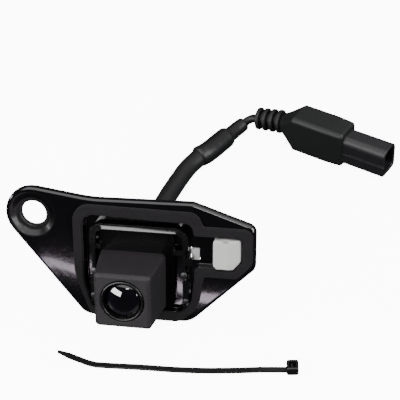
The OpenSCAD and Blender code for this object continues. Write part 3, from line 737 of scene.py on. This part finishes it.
def plug_shell():
    """The keyed shell round the contacts, open at its end."""
    def outer(d, x):
        return upright(rounded(inset(SHELL_BOX, d), 6), x)

    def inner(d, x):
        return upright(rounded(inset(SHELL_HOLLOW, d), 6), x)

    root = PLUG_BODY_END - 6
    out = [outer(0, root)] + [outer(d, x) for d, x in fillet((0, PLUG_END - 0.5), (0.5, PLUG_END), 4)]
    hollow = [inner(d, x) for d, x in fillet((0, PLUG_END - 0.6), (-0.6, PLUG_END), 4)][::-1]
    hollow += [inner(0, root)]
    piece = weld("shell", skin(out), flat(out[-1], hollow[0]), skin(hollow), flat(out[0], hollow[-1]))
    key = slab(box_outline(-5.6, -4.6, -4.0, -2.2, 0.2), PLUG_BODY_END + 8, PLUG_END + 1)
    put(key, Matrix(((0, 0, 1, 0), (1, 0, 0, 0), (0, 1, 0, 0), (0, 0, 0, 1))))
    carve(piece, key)
    return done(piece, "plug_keyed_shell", "shell_black", "plug_shell", where=PLUG, smooth=35)


thick, thin, joint, collar, thin_line = lead()
pieces_on_plug = [boot(), plug_body(), plug_shell()]
route_length(smooth_route(SLEEVE)) * MM
tuple(thin_line[0] * MM)
route_length(thin_line) * MM


# ---- Mounting plate ----
SHEET, RIM, SHOULDER = 1.5, 3.5, 1.7
FLOOR, FLOOR_BACK = -3, -4.5
PLATE = [(-70.5, 43.4, 11.9), (-21.3, -17.5, 7), (24.1, -17.5, 9), (51.3, 9.2, 4), (51.3, 27.7, 4),
         (25.5, 36.5, 7), (-17.5, 35.8, 60)]
GASKET_OUT = [(-24.5, 33.8, 7), (-24.5, 3, 20), (-18, -16.2, 4), (20, -16.2, 6), (27.5, -10, 8),
              (30.4, 5.4, 1.5), (44, 5.4, 2), (50.3, 12, 3), (50.3, 27.2, 4), (30, 27.2, 1.5), (27.5, 33, 5)]
POCKET = [(-20.6, 29.8, 5), (-20.6, -1, 15), (-17, -12.6, 3), (20, -12.6, 4), (25, -7, 6), (26.8, 8.8, 1),
          (42.4, 8.8, 1), (46.1, 13, 1), (46.1, 23.3, 2), (26.3, 23.3, 1), (25.2, 28.4, 3.5)]
CAMERA_WINDOW = box_outline(-12.6, -11.9, 12.6, 12.6, 2.2)
CLIP_HOLE = box_outline(36, 11.7, 43.8, 20.6, 0.6)
TONGUE_WINDOW = box_outline(24, 10.5, 28.1, 16.3, 0.4)
CRADLE_SCREWS = [(22.7, -6.6), (-16.6, -7)]
# The dished seat round the bolt: (radius, height) from the front face, through the hole, to the back
SEAT = [(10.4, 0), (9.95, -0.03), (9.55, -0.14), (9.2, -0.36), (8.9, -0.6), (7.9, -1.44), (7.5, -1.74),
        (7.05, -1.93), (6.6, -2), (5.95, -2), (5.65, -2.06), (5.45, -2.25), (5.4, -2.5), (5.4, -4.15),
        (5.5, -4.4), (5.75, -4.5), (6.7, -4.5), (6.95, -4.4), (7.3, -3.95), (7.7, -3.4), (10.4, -1.5)]


def plate():
    """The pressed sheet: rolled edge, dished bolt seat, and the pocket for the camera and the clip."""
    front_edge = stack(PLATE, [(1.2, -RIM), (0.35, -RIM), (0, -RIM + 0.35)])
    front_edge += stack(PLATE, fillet((0, -SHOULDER), (SHOULDER, 0), 7))
    back_edge = stack(PLATE, [(1.2, -RIM), (1.2, -SHEET - 0.8)])
    back_edge += stack(PLATE, fillet((1.2, -SHEET - 0.8), (2, -SHEET), 4))[1:]
    pocket = stack(POCKET, [
        (-0.8, 0), (-0.5, -0.06), (-0.24, -0.24), (-0.06, -0.5), (0, -0.8), (0.12, FLOOR + 0.6),
        (0.2, FLOOR + 0.3), (0.42, FLOOR + 0.08), (0.72, FLOOR)])
    outside = stack(POCKET, [
        (-2, -SHEET), (-1.5, -SHEET - 0.2), (-1.2, -SHEET - 0.7), (-1.2, FLOOR_BACK + 0.6),
        (-0.95, FLOOR_BACK + 0.15), (-0.5, FLOOR_BACK)])
    seat = [level(circle(BOLT, r, 64), z) for r, z in SEAT]
    holes = [rounded(o, 6) for o in (CAMERA_WINDOW, CLIP_HOLE, TONGUE_WINDOW)]
    holes += [circle(spot, 0.85, 20) for spot in CRADLE_SCREWS]
    cuts = [[level(h, FLOOR), level(h, FLOOR_BACK)] for h in holes]
    piece = weld("plate", skin(front_edge), skin(back_edge), skin(pocket), skin(outside), skin(seat),
                 *[skin(c) for c in cuts], flat(front_edge[-1], pocket[0], seat[0]),
                 flat(back_edge[-1], outside[0], seat[-1]), flat(pocket[-1], *[c[0] for c in cuts]),
                 flat(outside[-1], *[c[1] for c in cuts]))
    return done(piece, "mounting_plate", "plate_enamel", "mount_plate", smooth=40)


def gasket():
    """The foam strip round the pocket, with cut edges that have softened."""
    side = [(0.12, 0.02), (0, 0.3), (0, 1.7), *fillet((0, 1.85), (0.5, 2.4), 5)]
    outer = stack(GASKET_OUT, side)
    inner = [ring(POCKET, -d, z) for d, z in side]
    piece = weld("foam", skin(outer), skin(inner), flat(outer[-1], inner[-1]), flat(outer[0], inner[0]))
    return done(piece, "foam_strip", "gasket_foam", "foam_gasket", smooth=50)


# ---- Cradle and latches ----
CRADLE_OUT = [(-17.7, 26.2, 6), (-17.7, -9.2, 0), (-17.5, -10, 0), (22, -10, 0), (24, -7.8, 0), (24, 26.2, 6)]
CRADLE_RIM_IN = [(-14.8, 23.7, 3), (-14.8, -12, 0), (21.6, -12, 0), (21.6, 23.7, 3)]
CRADLE_WALL_IN = [(-16.5, 25, 4.8), (-16.5, -12, 0), (22.8, -12, 0), (22.8, 25, 4.8)]
CRADLE_TOP, CRADLE_LEDGE = 2.6, 1.4
PIN_LEFT, PIN_RIGHT = (-16.2, 4.2), (21.8, 5)
LATCH_LOW, LATCH_HIGH = -0.7, 1


def cradle():
    """The frame: thin walls, a rim with a bead, posts and sunk seats for two screws, and two slots."""
    piece = slab(CRADLE_OUT, FLOOR, CRADLE_TOP, 14)
    carve(piece, slab(CRADLE_WALL_IN, FLOOR - 1, CRADLE_LEDGE, 14),
          slab(CRADLE_RIM_IN, FLOOR - 2, CRADLE_TOP + 1, 14))
    carve(piece, *[rod(spot, 1.5, FLOOR, CRADLE_LEDGE, 32) for spot in CRADLE_SCREWS], how="UNION")
    tools = [slab(box_outline(-19, 2, -14, 16.9, 0), LATCH_LOW - 0.3, CRADLE_TOP + 1),
             slab(box_outline(19, 2.8, 26, 16.6, 0), LATCH_LOW - 0.3, CRADLE_TOP + 1)]
    for spot in CRADLE_SCREWS:
        tools += [rod(spot, 0.85, FLOOR - 1, CRADLE_TOP + 1, 24),
                  rod(spot, 1.65, CRADLE_LEDGE, CRADLE_TOP + 1, 32)]
    # The rim is sunk, and slopes up to a bead along its inner edge
    sunk = slab(inset(CRADLE_OUT, -1), CRADLE_TOP - 0.4, CRADLE_TOP + 1, 14)
    kept = stack(CRADLE_RIM_IN, [(-1.05, CRADLE_TOP - 0.5), (1.35, CRADLE_TOP + 1.1)], 14)
    carve(sunk, weld("kept", skin(kept, caps=True)))
    carve(piece, *tools, sunk)
    soften(piece, 0.32, 3)
    return done(piece, "cradle_moulding", "cradle_black", "cradle_frame", smooth=40)


def pan_screw(name, head_r, head_t, shank_r, tip, slot_w, recess):
    """A pan-head screw with its seat at Z = 0, its head above and its shank down to the tip."""
    profile = [(0.01, tip), (shank_r * 0.6, tip), (shank_r, tip + 0.5)]
    turns = int((-tip - 0.9) / 0.5)
    for k in range(turns):
        at = tip + 0.6 + 0.5 * k
        profile += [(shank_r * 0.86, at), (shank_r, at + 0.2), (shank_r * 0.86, at + 0.4)]
    profile += [(shank_r * 0.9, -0.05), (head_r - 0.08, 0), (head_r, 0.08), (head_r, head_t * 0.45),
                (head_r * 0.93, head_t * 0.75), (head_r * 0.75, head_t * 0.93), (head_r * 0.45, head_t),
                (0.01, head_t)]
    piece = spun(profile, 32)
    for angle in (0, math.pi / 2):
        bar = slab(box_outline(-recess, -slot_w / 2, recess, slot_w / 2, 0), head_t * 0.35, head_t + 1)
        put(bar, Matrix.Rotation(angle + 0.35, 4, "Z"))
        carve(piece, bar)
    piece.name = name
    return piece


def copies(master, spots, z=0, flip=False):
    """One copy of the master at each spot, each turned a little differently, joined to one piece."""
    made = []
    for k, spot in enumerate(spots):
        fresh()
        twin = master.copy()
        twin.data = master.data.copy()
        bpy.context.collection.objects.link(twin)
        turn_over = Matrix.Rotation(math.pi, 4, "X") if flip else Matrix.Identity(4)
        put(twin, Matrix.Translation((spot[0], spot[1], z)) @ turn_over @ Matrix.Rotation(0.7 * k, 4, "Z"))
        made.append(twin)
    bpy.data.objects.remove(master)
    choose(*made)
    bpy.ops.object.join()
    return bpy.context.object


def small_fixings():
    """The cradle's two screws and the latches' two pins."""
    screws = copies(pan_screw("screw", 1.3, 0.8, 0.68, -6.9, 0.35, 0.8), CRADLE_SCREWS, CRADLE_LEDGE)
    done(screws, "cradle_pan_screws", "screw_steel", "cradle_screws", smooth=30)
    head = LATCH_HIGH + 0.3
    made = []
    for spot, foot in ((PIN_LEFT, -1), (PIN_RIGHT, FLOOR)):
        profile = [(0.01, foot), (0.75, foot), (0.9, foot + 0.15)]
        profile += [(r, head + z) for r, z in [(0.9, 0), (1.4, 0), (1.5, 0.1), (1.48, 0.28), (1.3, 0.44),
                                               (1, 0.54), (0.5, 0.6), (0.01, 0.6)]]
        made.append(put(spun(profile, 40), Matrix.Translation((*spot, 0))))
    choose(*made)
    bpy.ops.object.join()
    done(bpy.context.object, "latch_pin_pair", "screw_steel", "latch_pins", smooth=40)


def latch(name, spot, side, reach, hook_y, pad, arm):
    """One snap latch: an eye on its pin, a springy arm with a hook, and a pad for a finger."""
    thick = LATCH_HIGH - LATCH_LOW
    piece = rod((0, 0), 1.7, 0, thick, 40)
    carve(piece, slab(box_outline(-0.7, 0, 0.6, arm, 0.25), 0, thick),
          slab([(-0.65, hook_y + 2.2, 0.2), (-0.65, hook_y, 0), (reach - 0.5, hook_y, 0.15),
                (reach, hook_y + 0.6, 0.15), (reach, hook_y + 2.2, 0.2)], 0, 1),
          slab(box_outline(-0.7 - pad, 4.6, -0.55, 7.8, 0.04 + 0.15 * (pad > 1)), 0, thick), how="UNION")
    carve(piece, rod((0, 0), 1, -1, thick + 1, 40))
    if pad > 1:
        # Grooves for the finger
        lefts = [-0.3 - pad + 0.8 * k for k in range(3)]
        carve(piece, *[slab(box_outline(x, 4, x + 0.35, 8.4, 0), thick - 0.2, thick + 1) for x in lefts])
    soften(piece, 0.1, 2, 40)
    if side > 0:
        put(piece, Matrix.Scale(-1, 4, Vector((1, 0, 0))))
        piece = weld(name, piece)
    put(piece, Matrix.Translation((*spot, LATCH_LOW)))
    return done(piece, name + "_lever", "cradle_black", name, body=name, smooth=40)


# ---- Camera head ----
HOOD_FRONT = 19.1
HOOD_EDGE = [(0, -1.5), (0.06, -1.2), (0.28, -0.82), (0.95, -0.2), (1.2, -0.06), (1.5, 0)]
BASE = [(-14.5, 23.4, 3), (-14.5, -12.3, 2), (18, -12.3, 5.5), (18, 23.4, 3)]
SCREWS = [(-9.6, -8.9), (9.6, -8.9), (-9.6, 9.6), (9.6, 9.6)]
REAR_BOX, REAR_BACK, REAR_FRONT, SCREW_SEAT = box_outline(-12, -11.3, 12, 12, 2), -20.5, -3.6, -19.2
GLAND_X = -4


def hood_section(z, d, wall=0):
    """The tapered section at one height, moved in by d, or the hollow's section inside the wall."""
    share = (z + 1) / (HOOD_FRONT + 1)
    w = 13.9 + (11.65 - 13.9) * share - wall - d
    top, low = 13.2 + (11.5 - 13.2) * share - wall - d, 12.1 - wall - d
    return level(rounded(box_outline(-w, -low, w, top, max(0.35, 2 - 0.3 * share - d * 0.75))), z)


def hood():
    """The tapered square hood on its base flange, hollow, with the round mouth for the bezel."""
    rings = [hood_section(z, 0) for z in (-1.6, 0, 3, 6, 9, 12, 15)]
    rings += [hood_section(HOOD_FRONT + z, d) for d, z in HOOD_EDGE]
    piece = weld("hood", skin(rings, caps=True))
    base = stack(BASE, [(0, FLOOR), (0, -1.5), (0.08, -1.22), (0.24, -1.06), (0.5, -1)])
    carve(piece, weld("base", skin(base, caps=True)), how="UNION")
    hollow = weld("hollow", skin([hood_section(z, 0, 1.9 + 0.02 * (17 - z)) for z in (-4, 17.1)], caps=True))
    mouth = spun([(0.01, 14.6), (10.35, 14.6), (10.35, 17.1), (9.05, 17.1), (9.05, 18.7), (9.12, 18.86),
                  (9.28, 19.02), (9.55, 19.11), (9.55, 20), (0.01, 20)], 96)
    carve(piece, hollow, mouth, *[rod(spot, 0.8, FLOOR - 1, -0.4, 20) for spot in SCREWS])
    return done(piece, "camera_hood", "hood_charcoal", "front_housing", smooth=32)


def optics():
    """The bezel, its seal and the front element."""
    bezel = spun([(7.6, 15), (10.2, 15), (10.2, 16.2), (8.9, 16.2), (8.9, 19.18), (8.84, 19.36),
                  (8.7, 19.47), (8.5, 19.5), (8.2, 19.5), (8.08, 19.46), (8, 19.35), (7.9, 19),
                  (7.68, 17.9), (7.6, 17.5)], 96)
    done(bezel, "bezel_ring", "bezel_black", "lens_bezel", smooth=40)
    seal = spun(circle((9.65, 16.65), 0.45, 16), 64)
    done(seal, "bezel_seal", "seal_rubber", "lens_o_ring", smooth=60)
    # A dome that rises 2.5 over a radius of 7.55
    dome_r = (7.55 ** 2 + 2.5 ** 2) / 5
    swing = math.asin(7.55 / dome_r)
    dome = [(max(0.002, dome_r * math.sin(swing * k / 20)), 19.5 - dome_r + dome_r * math.cos(swing * k / 20))
            for k in range(21)]
    back = [(7.5 * k / 12 or 0.002, 15.4 + 2 * (1 - (k / 12) ** 2)) for k in range(12, -1, -1)]
    front = spun([*dome, (7.55, 16.9), *back], 96)
    done(front, "front_element", "lens_glass", "lens_front_element", smooth=45, weighted=False)


def back_housing():
    """The rear box with its four screws in sunk seats, and the seal between it and the front."""
    piece = slab(REAR_BOX, REAR_BACK, REAR_FRONT, 12)
    modify(piece, "BEVEL", width=0.9, segments=4, limit_method="ANGLE", angle_limit=math.radians(60))
    tools = [slab(box_outline(-10.4, -9.7, 10.4, 10.4, 0.6), -18.9, -3, 4)]
    posts = [rod(spot, 2.3, SCREW_SEAT, REAR_FRONT, 32) for spot in SCREWS]
    carve(piece, *tools)
    carve(piece, *posts, how="UNION")
    holes = []
    for spot in SCREWS:
        sunk = spun([(0.01, -21), (2.3, -21), (1.9, -20.35), (1.8, -20.2), (1.8, -18.1), (0.01, -18.1)], 40)
        holes += [rod(spot, 1, -21, -3, 24), put(sunk, Matrix.Translation((*spot, 0)))]
    line = stack(REAR_BOX, [(-1, -6.5), (0.3, -6.35), (0.3, -6.15), (-1, -6)])
    carve(piece, *holes, rod((GLAND_X, 0), 3.2, -21.5, -17.5, 40), weld("line", skin([*line, line[0]])))
    done(piece, "rear_box", "housing_black", "rear_housing", smooth=32)
    seal = stack(REAR_BOX, [
        (0.25, REAR_FRONT), (0.2, -3.45), (0.2, -3.15), (0.25, FLOOR), (1.35, FLOOR), (1.4, -3.15),
        (1.4, -3.45), (1.35, REAR_FRONT)])
    done(weld("seal", skin([*seal, seal[0]])), "parting_seal", "seal_rubber", "housing_seal", smooth=50)
    screws = copies(pan_screw("screw", 1.6, 1.2, 0.8, -16.2, 0.42, 1.1), SCREWS, SCREW_SEAT, flip=True)
    done(screws, "housing_pan_screws", "screw_steel", "housing_screws", smooth=30)
    gland = spun([(2.25, -3), (3.85, -3), (4, -2.85), (4.15, -2.3), (4.35, -1.7), (4.75, -1.6), (4.9, -1.45),
                  (4.9, -0.15), (4.8, 0), (3.15, 0), (3.15, 1.65), (4.2, 1.65), (4.2, 2.5), (2.25, 2.5)], 56)
    put(gland, Matrix.Translation((GLAND_X, 0, REAR_BACK)))
    done(gland, "gland_grommet", "seal_rubber", "cable_gland", smooth=45)


# ---- White clip ----
CLIP = [(34.3, 22.5, 1.4), (34.3, 11.2, 1), (35.6, 9.8, 1), (42.6, 9.8, 0.8), (45.6, 13.2, 0.8),
        (45.6, 22.5, 1)]
CLIP_FRONT, CLIP_FACET = 3.5, 40.6
LEG_X, LEG_ROOT = 39.9, -5.7


def clip():
    """The nylon block through the plate, its strap behind, the L-shaped end and two barbed legs."""
    rings = stack(CLIP, [(0.2, FLOOR), (0, FLOOR + 0.2)])
    rings += stack(CLIP, fillet((0, CLIP_FRONT - 0.6), (0.6, CLIP_FRONT), 6))
    block = weld("block", skin(rings, caps=True))
    choose(block)
    bpy.ops.object.mode_set(mode="EDIT")
    bpy.ops.mesh.select_all(action="SELECT")
    bpy.ops.mesh.bisect(plane_co=(CLIP_FACET, 0, 0), plane_no=(1, 0, 0))
    fresh()
    for vertex in block.data.vertices:
        if vertex.co.z > 0 and vertex.co.x > CLIP_FACET:
            vertex.co.z -= 0.36 * (vertex.co.x - CLIP_FACET)
    scoop = put(rod((0, 0), 1.9, -3, 3, 40), Matrix.Translation((39.4, 23.4, CLIP_FRONT + 0.9)))
    carve(block, scoop)
    soften(block, 0.12, 2, 12)
    carve(block, slab(box_outline(38.6, 13, 41.4, 19.4, 0.5), FLOOR - 1, CLIP_FRONT - 2))
    neck = slab(box_outline(36.15, 11.85, 43.65, 20.45, 0.45), FLOOR_BACK - 0.4, FLOOR + 0.3)
    done(block, "clip_block", "nylon_white", "panel_clip")
    done(soften(neck, 0.15, 2), "clip_neck", "nylon_white", "panel_clip")
    strap = slab(box_outline(24.3, 12, 43.6, 15.4, 0.4), FLOOR_BACK - 1.8, FLOOR_BACK - 0.3)
    end = slab(box_outline(24.3, 10.8, 27.8, 16, 0.3), FLOOR_BACK - 1.8, -2.6)
    carve(end, slab(box_outline(23, 9.8, 25.4, 13.4, 0), -3.6, 0))
    carve(strap, end, how="UNION")
    done(soften(strap, 0.2, 3), "clip_strap", "nylon_white", "panel_clip")
    half = 0.65
    for name, y, side in (("clip_leg_upper", 19.7, 1), ("clip_leg_lower", 9.9, -1)):
        outline = half_circle((0, 0), half, 0, 10)
        outline += [(-half, -5, 0.3), (half, -5, 0.3), (half + 1, -1.4, 0.15), (half + 1, -0.9, 0.1),
                    (half, -0.7, 0.1)]
        leg = slab(outline, -3, 3, 4)
        # The outline's X becomes the plate's Y, and its Y the plate's Z
        axes = Matrix(((0, 0, 1, 0), (side, 0, 0, 0), (0, 1, 0, 0), (0, 0, 0, 1)))
        leg = weld(name, put(leg, Matrix.Translation((LEG_X, y, LEG_ROOT)) @ axes))
        soften(leg, 0.1, 2, 40)
        done(leg, name + "_barb", "nylon_white", name, body=name)


# ---- Cable tie ----
TIE_END = Vector(STRAP[-1])
TIE = TABLE @ Matrix.Translation((TIE_END.x, TIE_END.y, 0)) @ Matrix.Rotation(
    math.atan2(TIE_END.y - STRAP[-2][1], TIE_END.x - STRAP[-2][0]), 4, "Z")


def tie():
    """The strap with its rails and teeth, the head with its slot, and the pawl in the slot."""
    route = smooth_route(STRAP, 24)
    rows, gone, marks = framed(route), 0, []
    total = rows[-1][3]
    step, k = 0.4, 0
    while gone < total:
        while k < len(rows) - 2 and rows[k + 1][3] < gone:
            k += 1
        a, b = rows[k], rows[k + 1]
        share = (gone - a[3]) / (b[3] - a[3])
        marks.append((a[0].lerp(b[0], share), a[1].lerp(b[1], share), a[2].lerp(b[2], share), gone))
        gone += step
    marks.append(rows[-1])
    rings = []
    for n, (here, side, up, at) in enumerate(marks):
        point = min(1, 0.45 + at / 9)
        w, t = 1.24 * point, 0.49 * (0.7 + 0.3 * point)
        toothed = 6 < at < total - 14
        dip = (0.34 if n % 2 else 0.1) if toothed else 0.0
        section = [(w, -t * 0.8), (w, t * 0.8), (w * 0.93, t), (w * 0.7, t), (w * 0.62, t - dip),
                   (-w * 0.62, t - dip), (-w * 0.7, t), (-w * 0.93, t), (-w, t * 0.8), (-w, -t * 0.8),
                   (-w * 0.93, -t), (w * 0.93, -t)]
        rings.append([here + side * x + up * y for x, y in section])
    strap = weld("strap", skin(rings, caps=True))
    done(strap, "tie_strap_toothed", "tie_nylon", "tie_strap", body="tie", where=TABLE, smooth=30,
         weighted=False)
    sides = [(0.35, 0), (0.1, 0.1), (0, 0.35), (0, 3.4), *fillet((0, 3.4), (0.6, 4), 5)]
    head = stack(box_outline(-0.2, -2.6, 4.6, 2.6, 0.9), sides)
    box = weld("head", skin(head, caps=True))
    carve(box, slab(box_outline(0.7, -1.5, 3.7, 1.5, 0.2), -1, 5))
    done(soften(box, 0.12, 2, 50), "tie_head", "tie_nylon", "tie_strap", body="tie", where=TIE)
    foot = half_circle((1.4, 0.6), 0.35, math.pi, 8)
    teeth = [(2, 1.3, 0.05), (2.2, 1.75, 0), (2.05, 1.8, 0), (2.25, 2.3, 0), (2.1, 2.35, 0), (2.3, 2.9, 0.08),
             (1.5, 3.1, 0.15)]
    pawl = slab([*foot, *teeth], -1.2, 1.2, 3)
    put(pawl, Matrix(((1, 0, 0, 0), (0, 0, -1, 0), (0, 1, 0, 0), (0, 0, 0, 1))))
    done(weld("pawl", pawl), "tie_pawl_lever", "tie_nylon", "tie_pawl", body="tie_pawl", where=TIE)


plate()
gasket()
cradle()
small_fixings()
latch("latch_left", PIN_LEFT, -1, 2.8, 9.8, 0.1, 12)
latch("latch_right", PIN_RIGHT, 1, 4.7, 8.4, 3, 11.2)
hood()
optics()
back_housing()
clip()
tie()

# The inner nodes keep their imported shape, each with its own finish
slots = {part["node"]: part["material_slot"] for part in frame["record"]["subparts"]}
for node, cad in frame["nodes"].items():
    cad.data.materials.clear()
    cad.data.materials.append(FINISH[slots[node]])


# ---- Floor and light ----
# Softboxes round the lens: azimuth and elevation in degrees, distance and size in metres, watts
LAMPS = {
    "window": (-43, 23, 0.9, (0.8, 0.3), 22),
    "left_key": (-43, 23, 0.9, (1.1, 0.6), 12),
    "small_lamp": (9.6, 45, 0.9, (0.16, 0.05), 0.6),
    "overhead": (-10, 80, 1.2, (2, 1.5), 20),
    "right_fill": (75, 30, 1.1, (0.7, 0.5), 11),
    "right_low": (50, 14, 1.1, (0.3, 0.14), 2),
    "left_low": (-78, 14, 0.9, (0.3, 0.12), 1.2),
    "back_light": (150, 40, 1.2, (1.2, 0.6), 1.5),
    "rear_low": (190, 12, 1.1, (0.9, 0.4), 10),
}
# The pieces that a lamp lights alone (INCLUDE) or leaves out (EXCLUDE); other lamps light everything
LINKS = {
    "window": ("INCLUDE", ["front_element"]),
    "left_key": ("EXCLUDE", ["front_element", "mounting_plate"]),
    "rear_low": ("INCLUDE", ["rear_box", "housing_pan_screws", "gland_grommet", "parting_seal", "clip_strap",
                             "clip_neck", "clip_leg_upper_barb", "clip_leg_lower_barb"]),
    "low_strip": ("INCLUDE", ["mounting_plate"]),
}


def lay_floor():
    """A white floor that glows evenly, but is neither mirrored in the pieces nor lights them."""
    fresh()
    bpy.ops.mesh.primitive_plane_add(size=9, location=(0, 0, -0.0002))
    floor = bpy.context.object
    floor.name = "floor"
    p = Paint("floor_paper", Specular_IOR_Level=0.2, Emission_Color=(1, 1, 1, 1), Emission_Strength=10)
    p.colour(p.blend(p.noise(6, 2), (0.86, 0.86, 0.86), (0.88, 0.88, 0.88)))
    p.rough(0.7 + 0.1 * p.noise(40, 3))
    floor.data.materials.append(p.material)
    floor.visible_glossy = floor.visible_diffuse = False


def low_strip():
    """A thin lavender strip low in front of the plate, for the bands across its enamel."""
    left, right = Vector((-0.083, -0.136, 0.0073)), Vector((0.0147, -0.0658, 0.0032))
    middle, run = (left + right) / 2, right - left
    softbox("low_strip", middle, middle + Vector((0, 1, 0)), (run.length * 1.3, 0.005), 0.02, (1, 0.86, 1))
    strip = bpy.context.object
    facing = Vector((-run.y, run.x, 0)).normalized()
    axes = Matrix((run.normalized(), run.normalized().cross(facing), -facing)).transposed()
    strip.rotation_euler = axes.to_euler()
    strip.visible_camera = strip.visible_diffuse = False


def stage():
    """The floor, a faint world, the softboxes and what each of them lights."""
    lay_floor()
    world = bpy.data.worlds.new("studio")
    bpy.context.scene.world = world
    world.use_nodes = True
    background = world.node_tree.nodes["Background"]
    background.inputs["Color"].default_value = (0.9, 0.92, 1, 1)
    background.inputs["Strength"].default_value = 0.06
    lens = STAND @ Vector((0, 0, 19))
    for name, (azimuth, elevation, distance, size, power) in LAMPS.items():
        a, e = math.radians(azimuth), math.radians(elevation)
        way = Vector((math.sin(a) * math.cos(e), -math.cos(a) * math.cos(e), math.sin(e)))
        softbox(name, lens + way * distance, lens, size, power)
    low_strip()
    for name, (state, pieces) in LINKS.items():
        group = bpy.data.collections.new("linked_to_" + name)
        for k, piece in enumerate(pieces):
            group.objects.link(bpy.data.objects[piece])
            group.collection_objects[k].light_linking.link_state = state
        bpy.data.objects[name].light_linking.receiver_collection = group


stage()
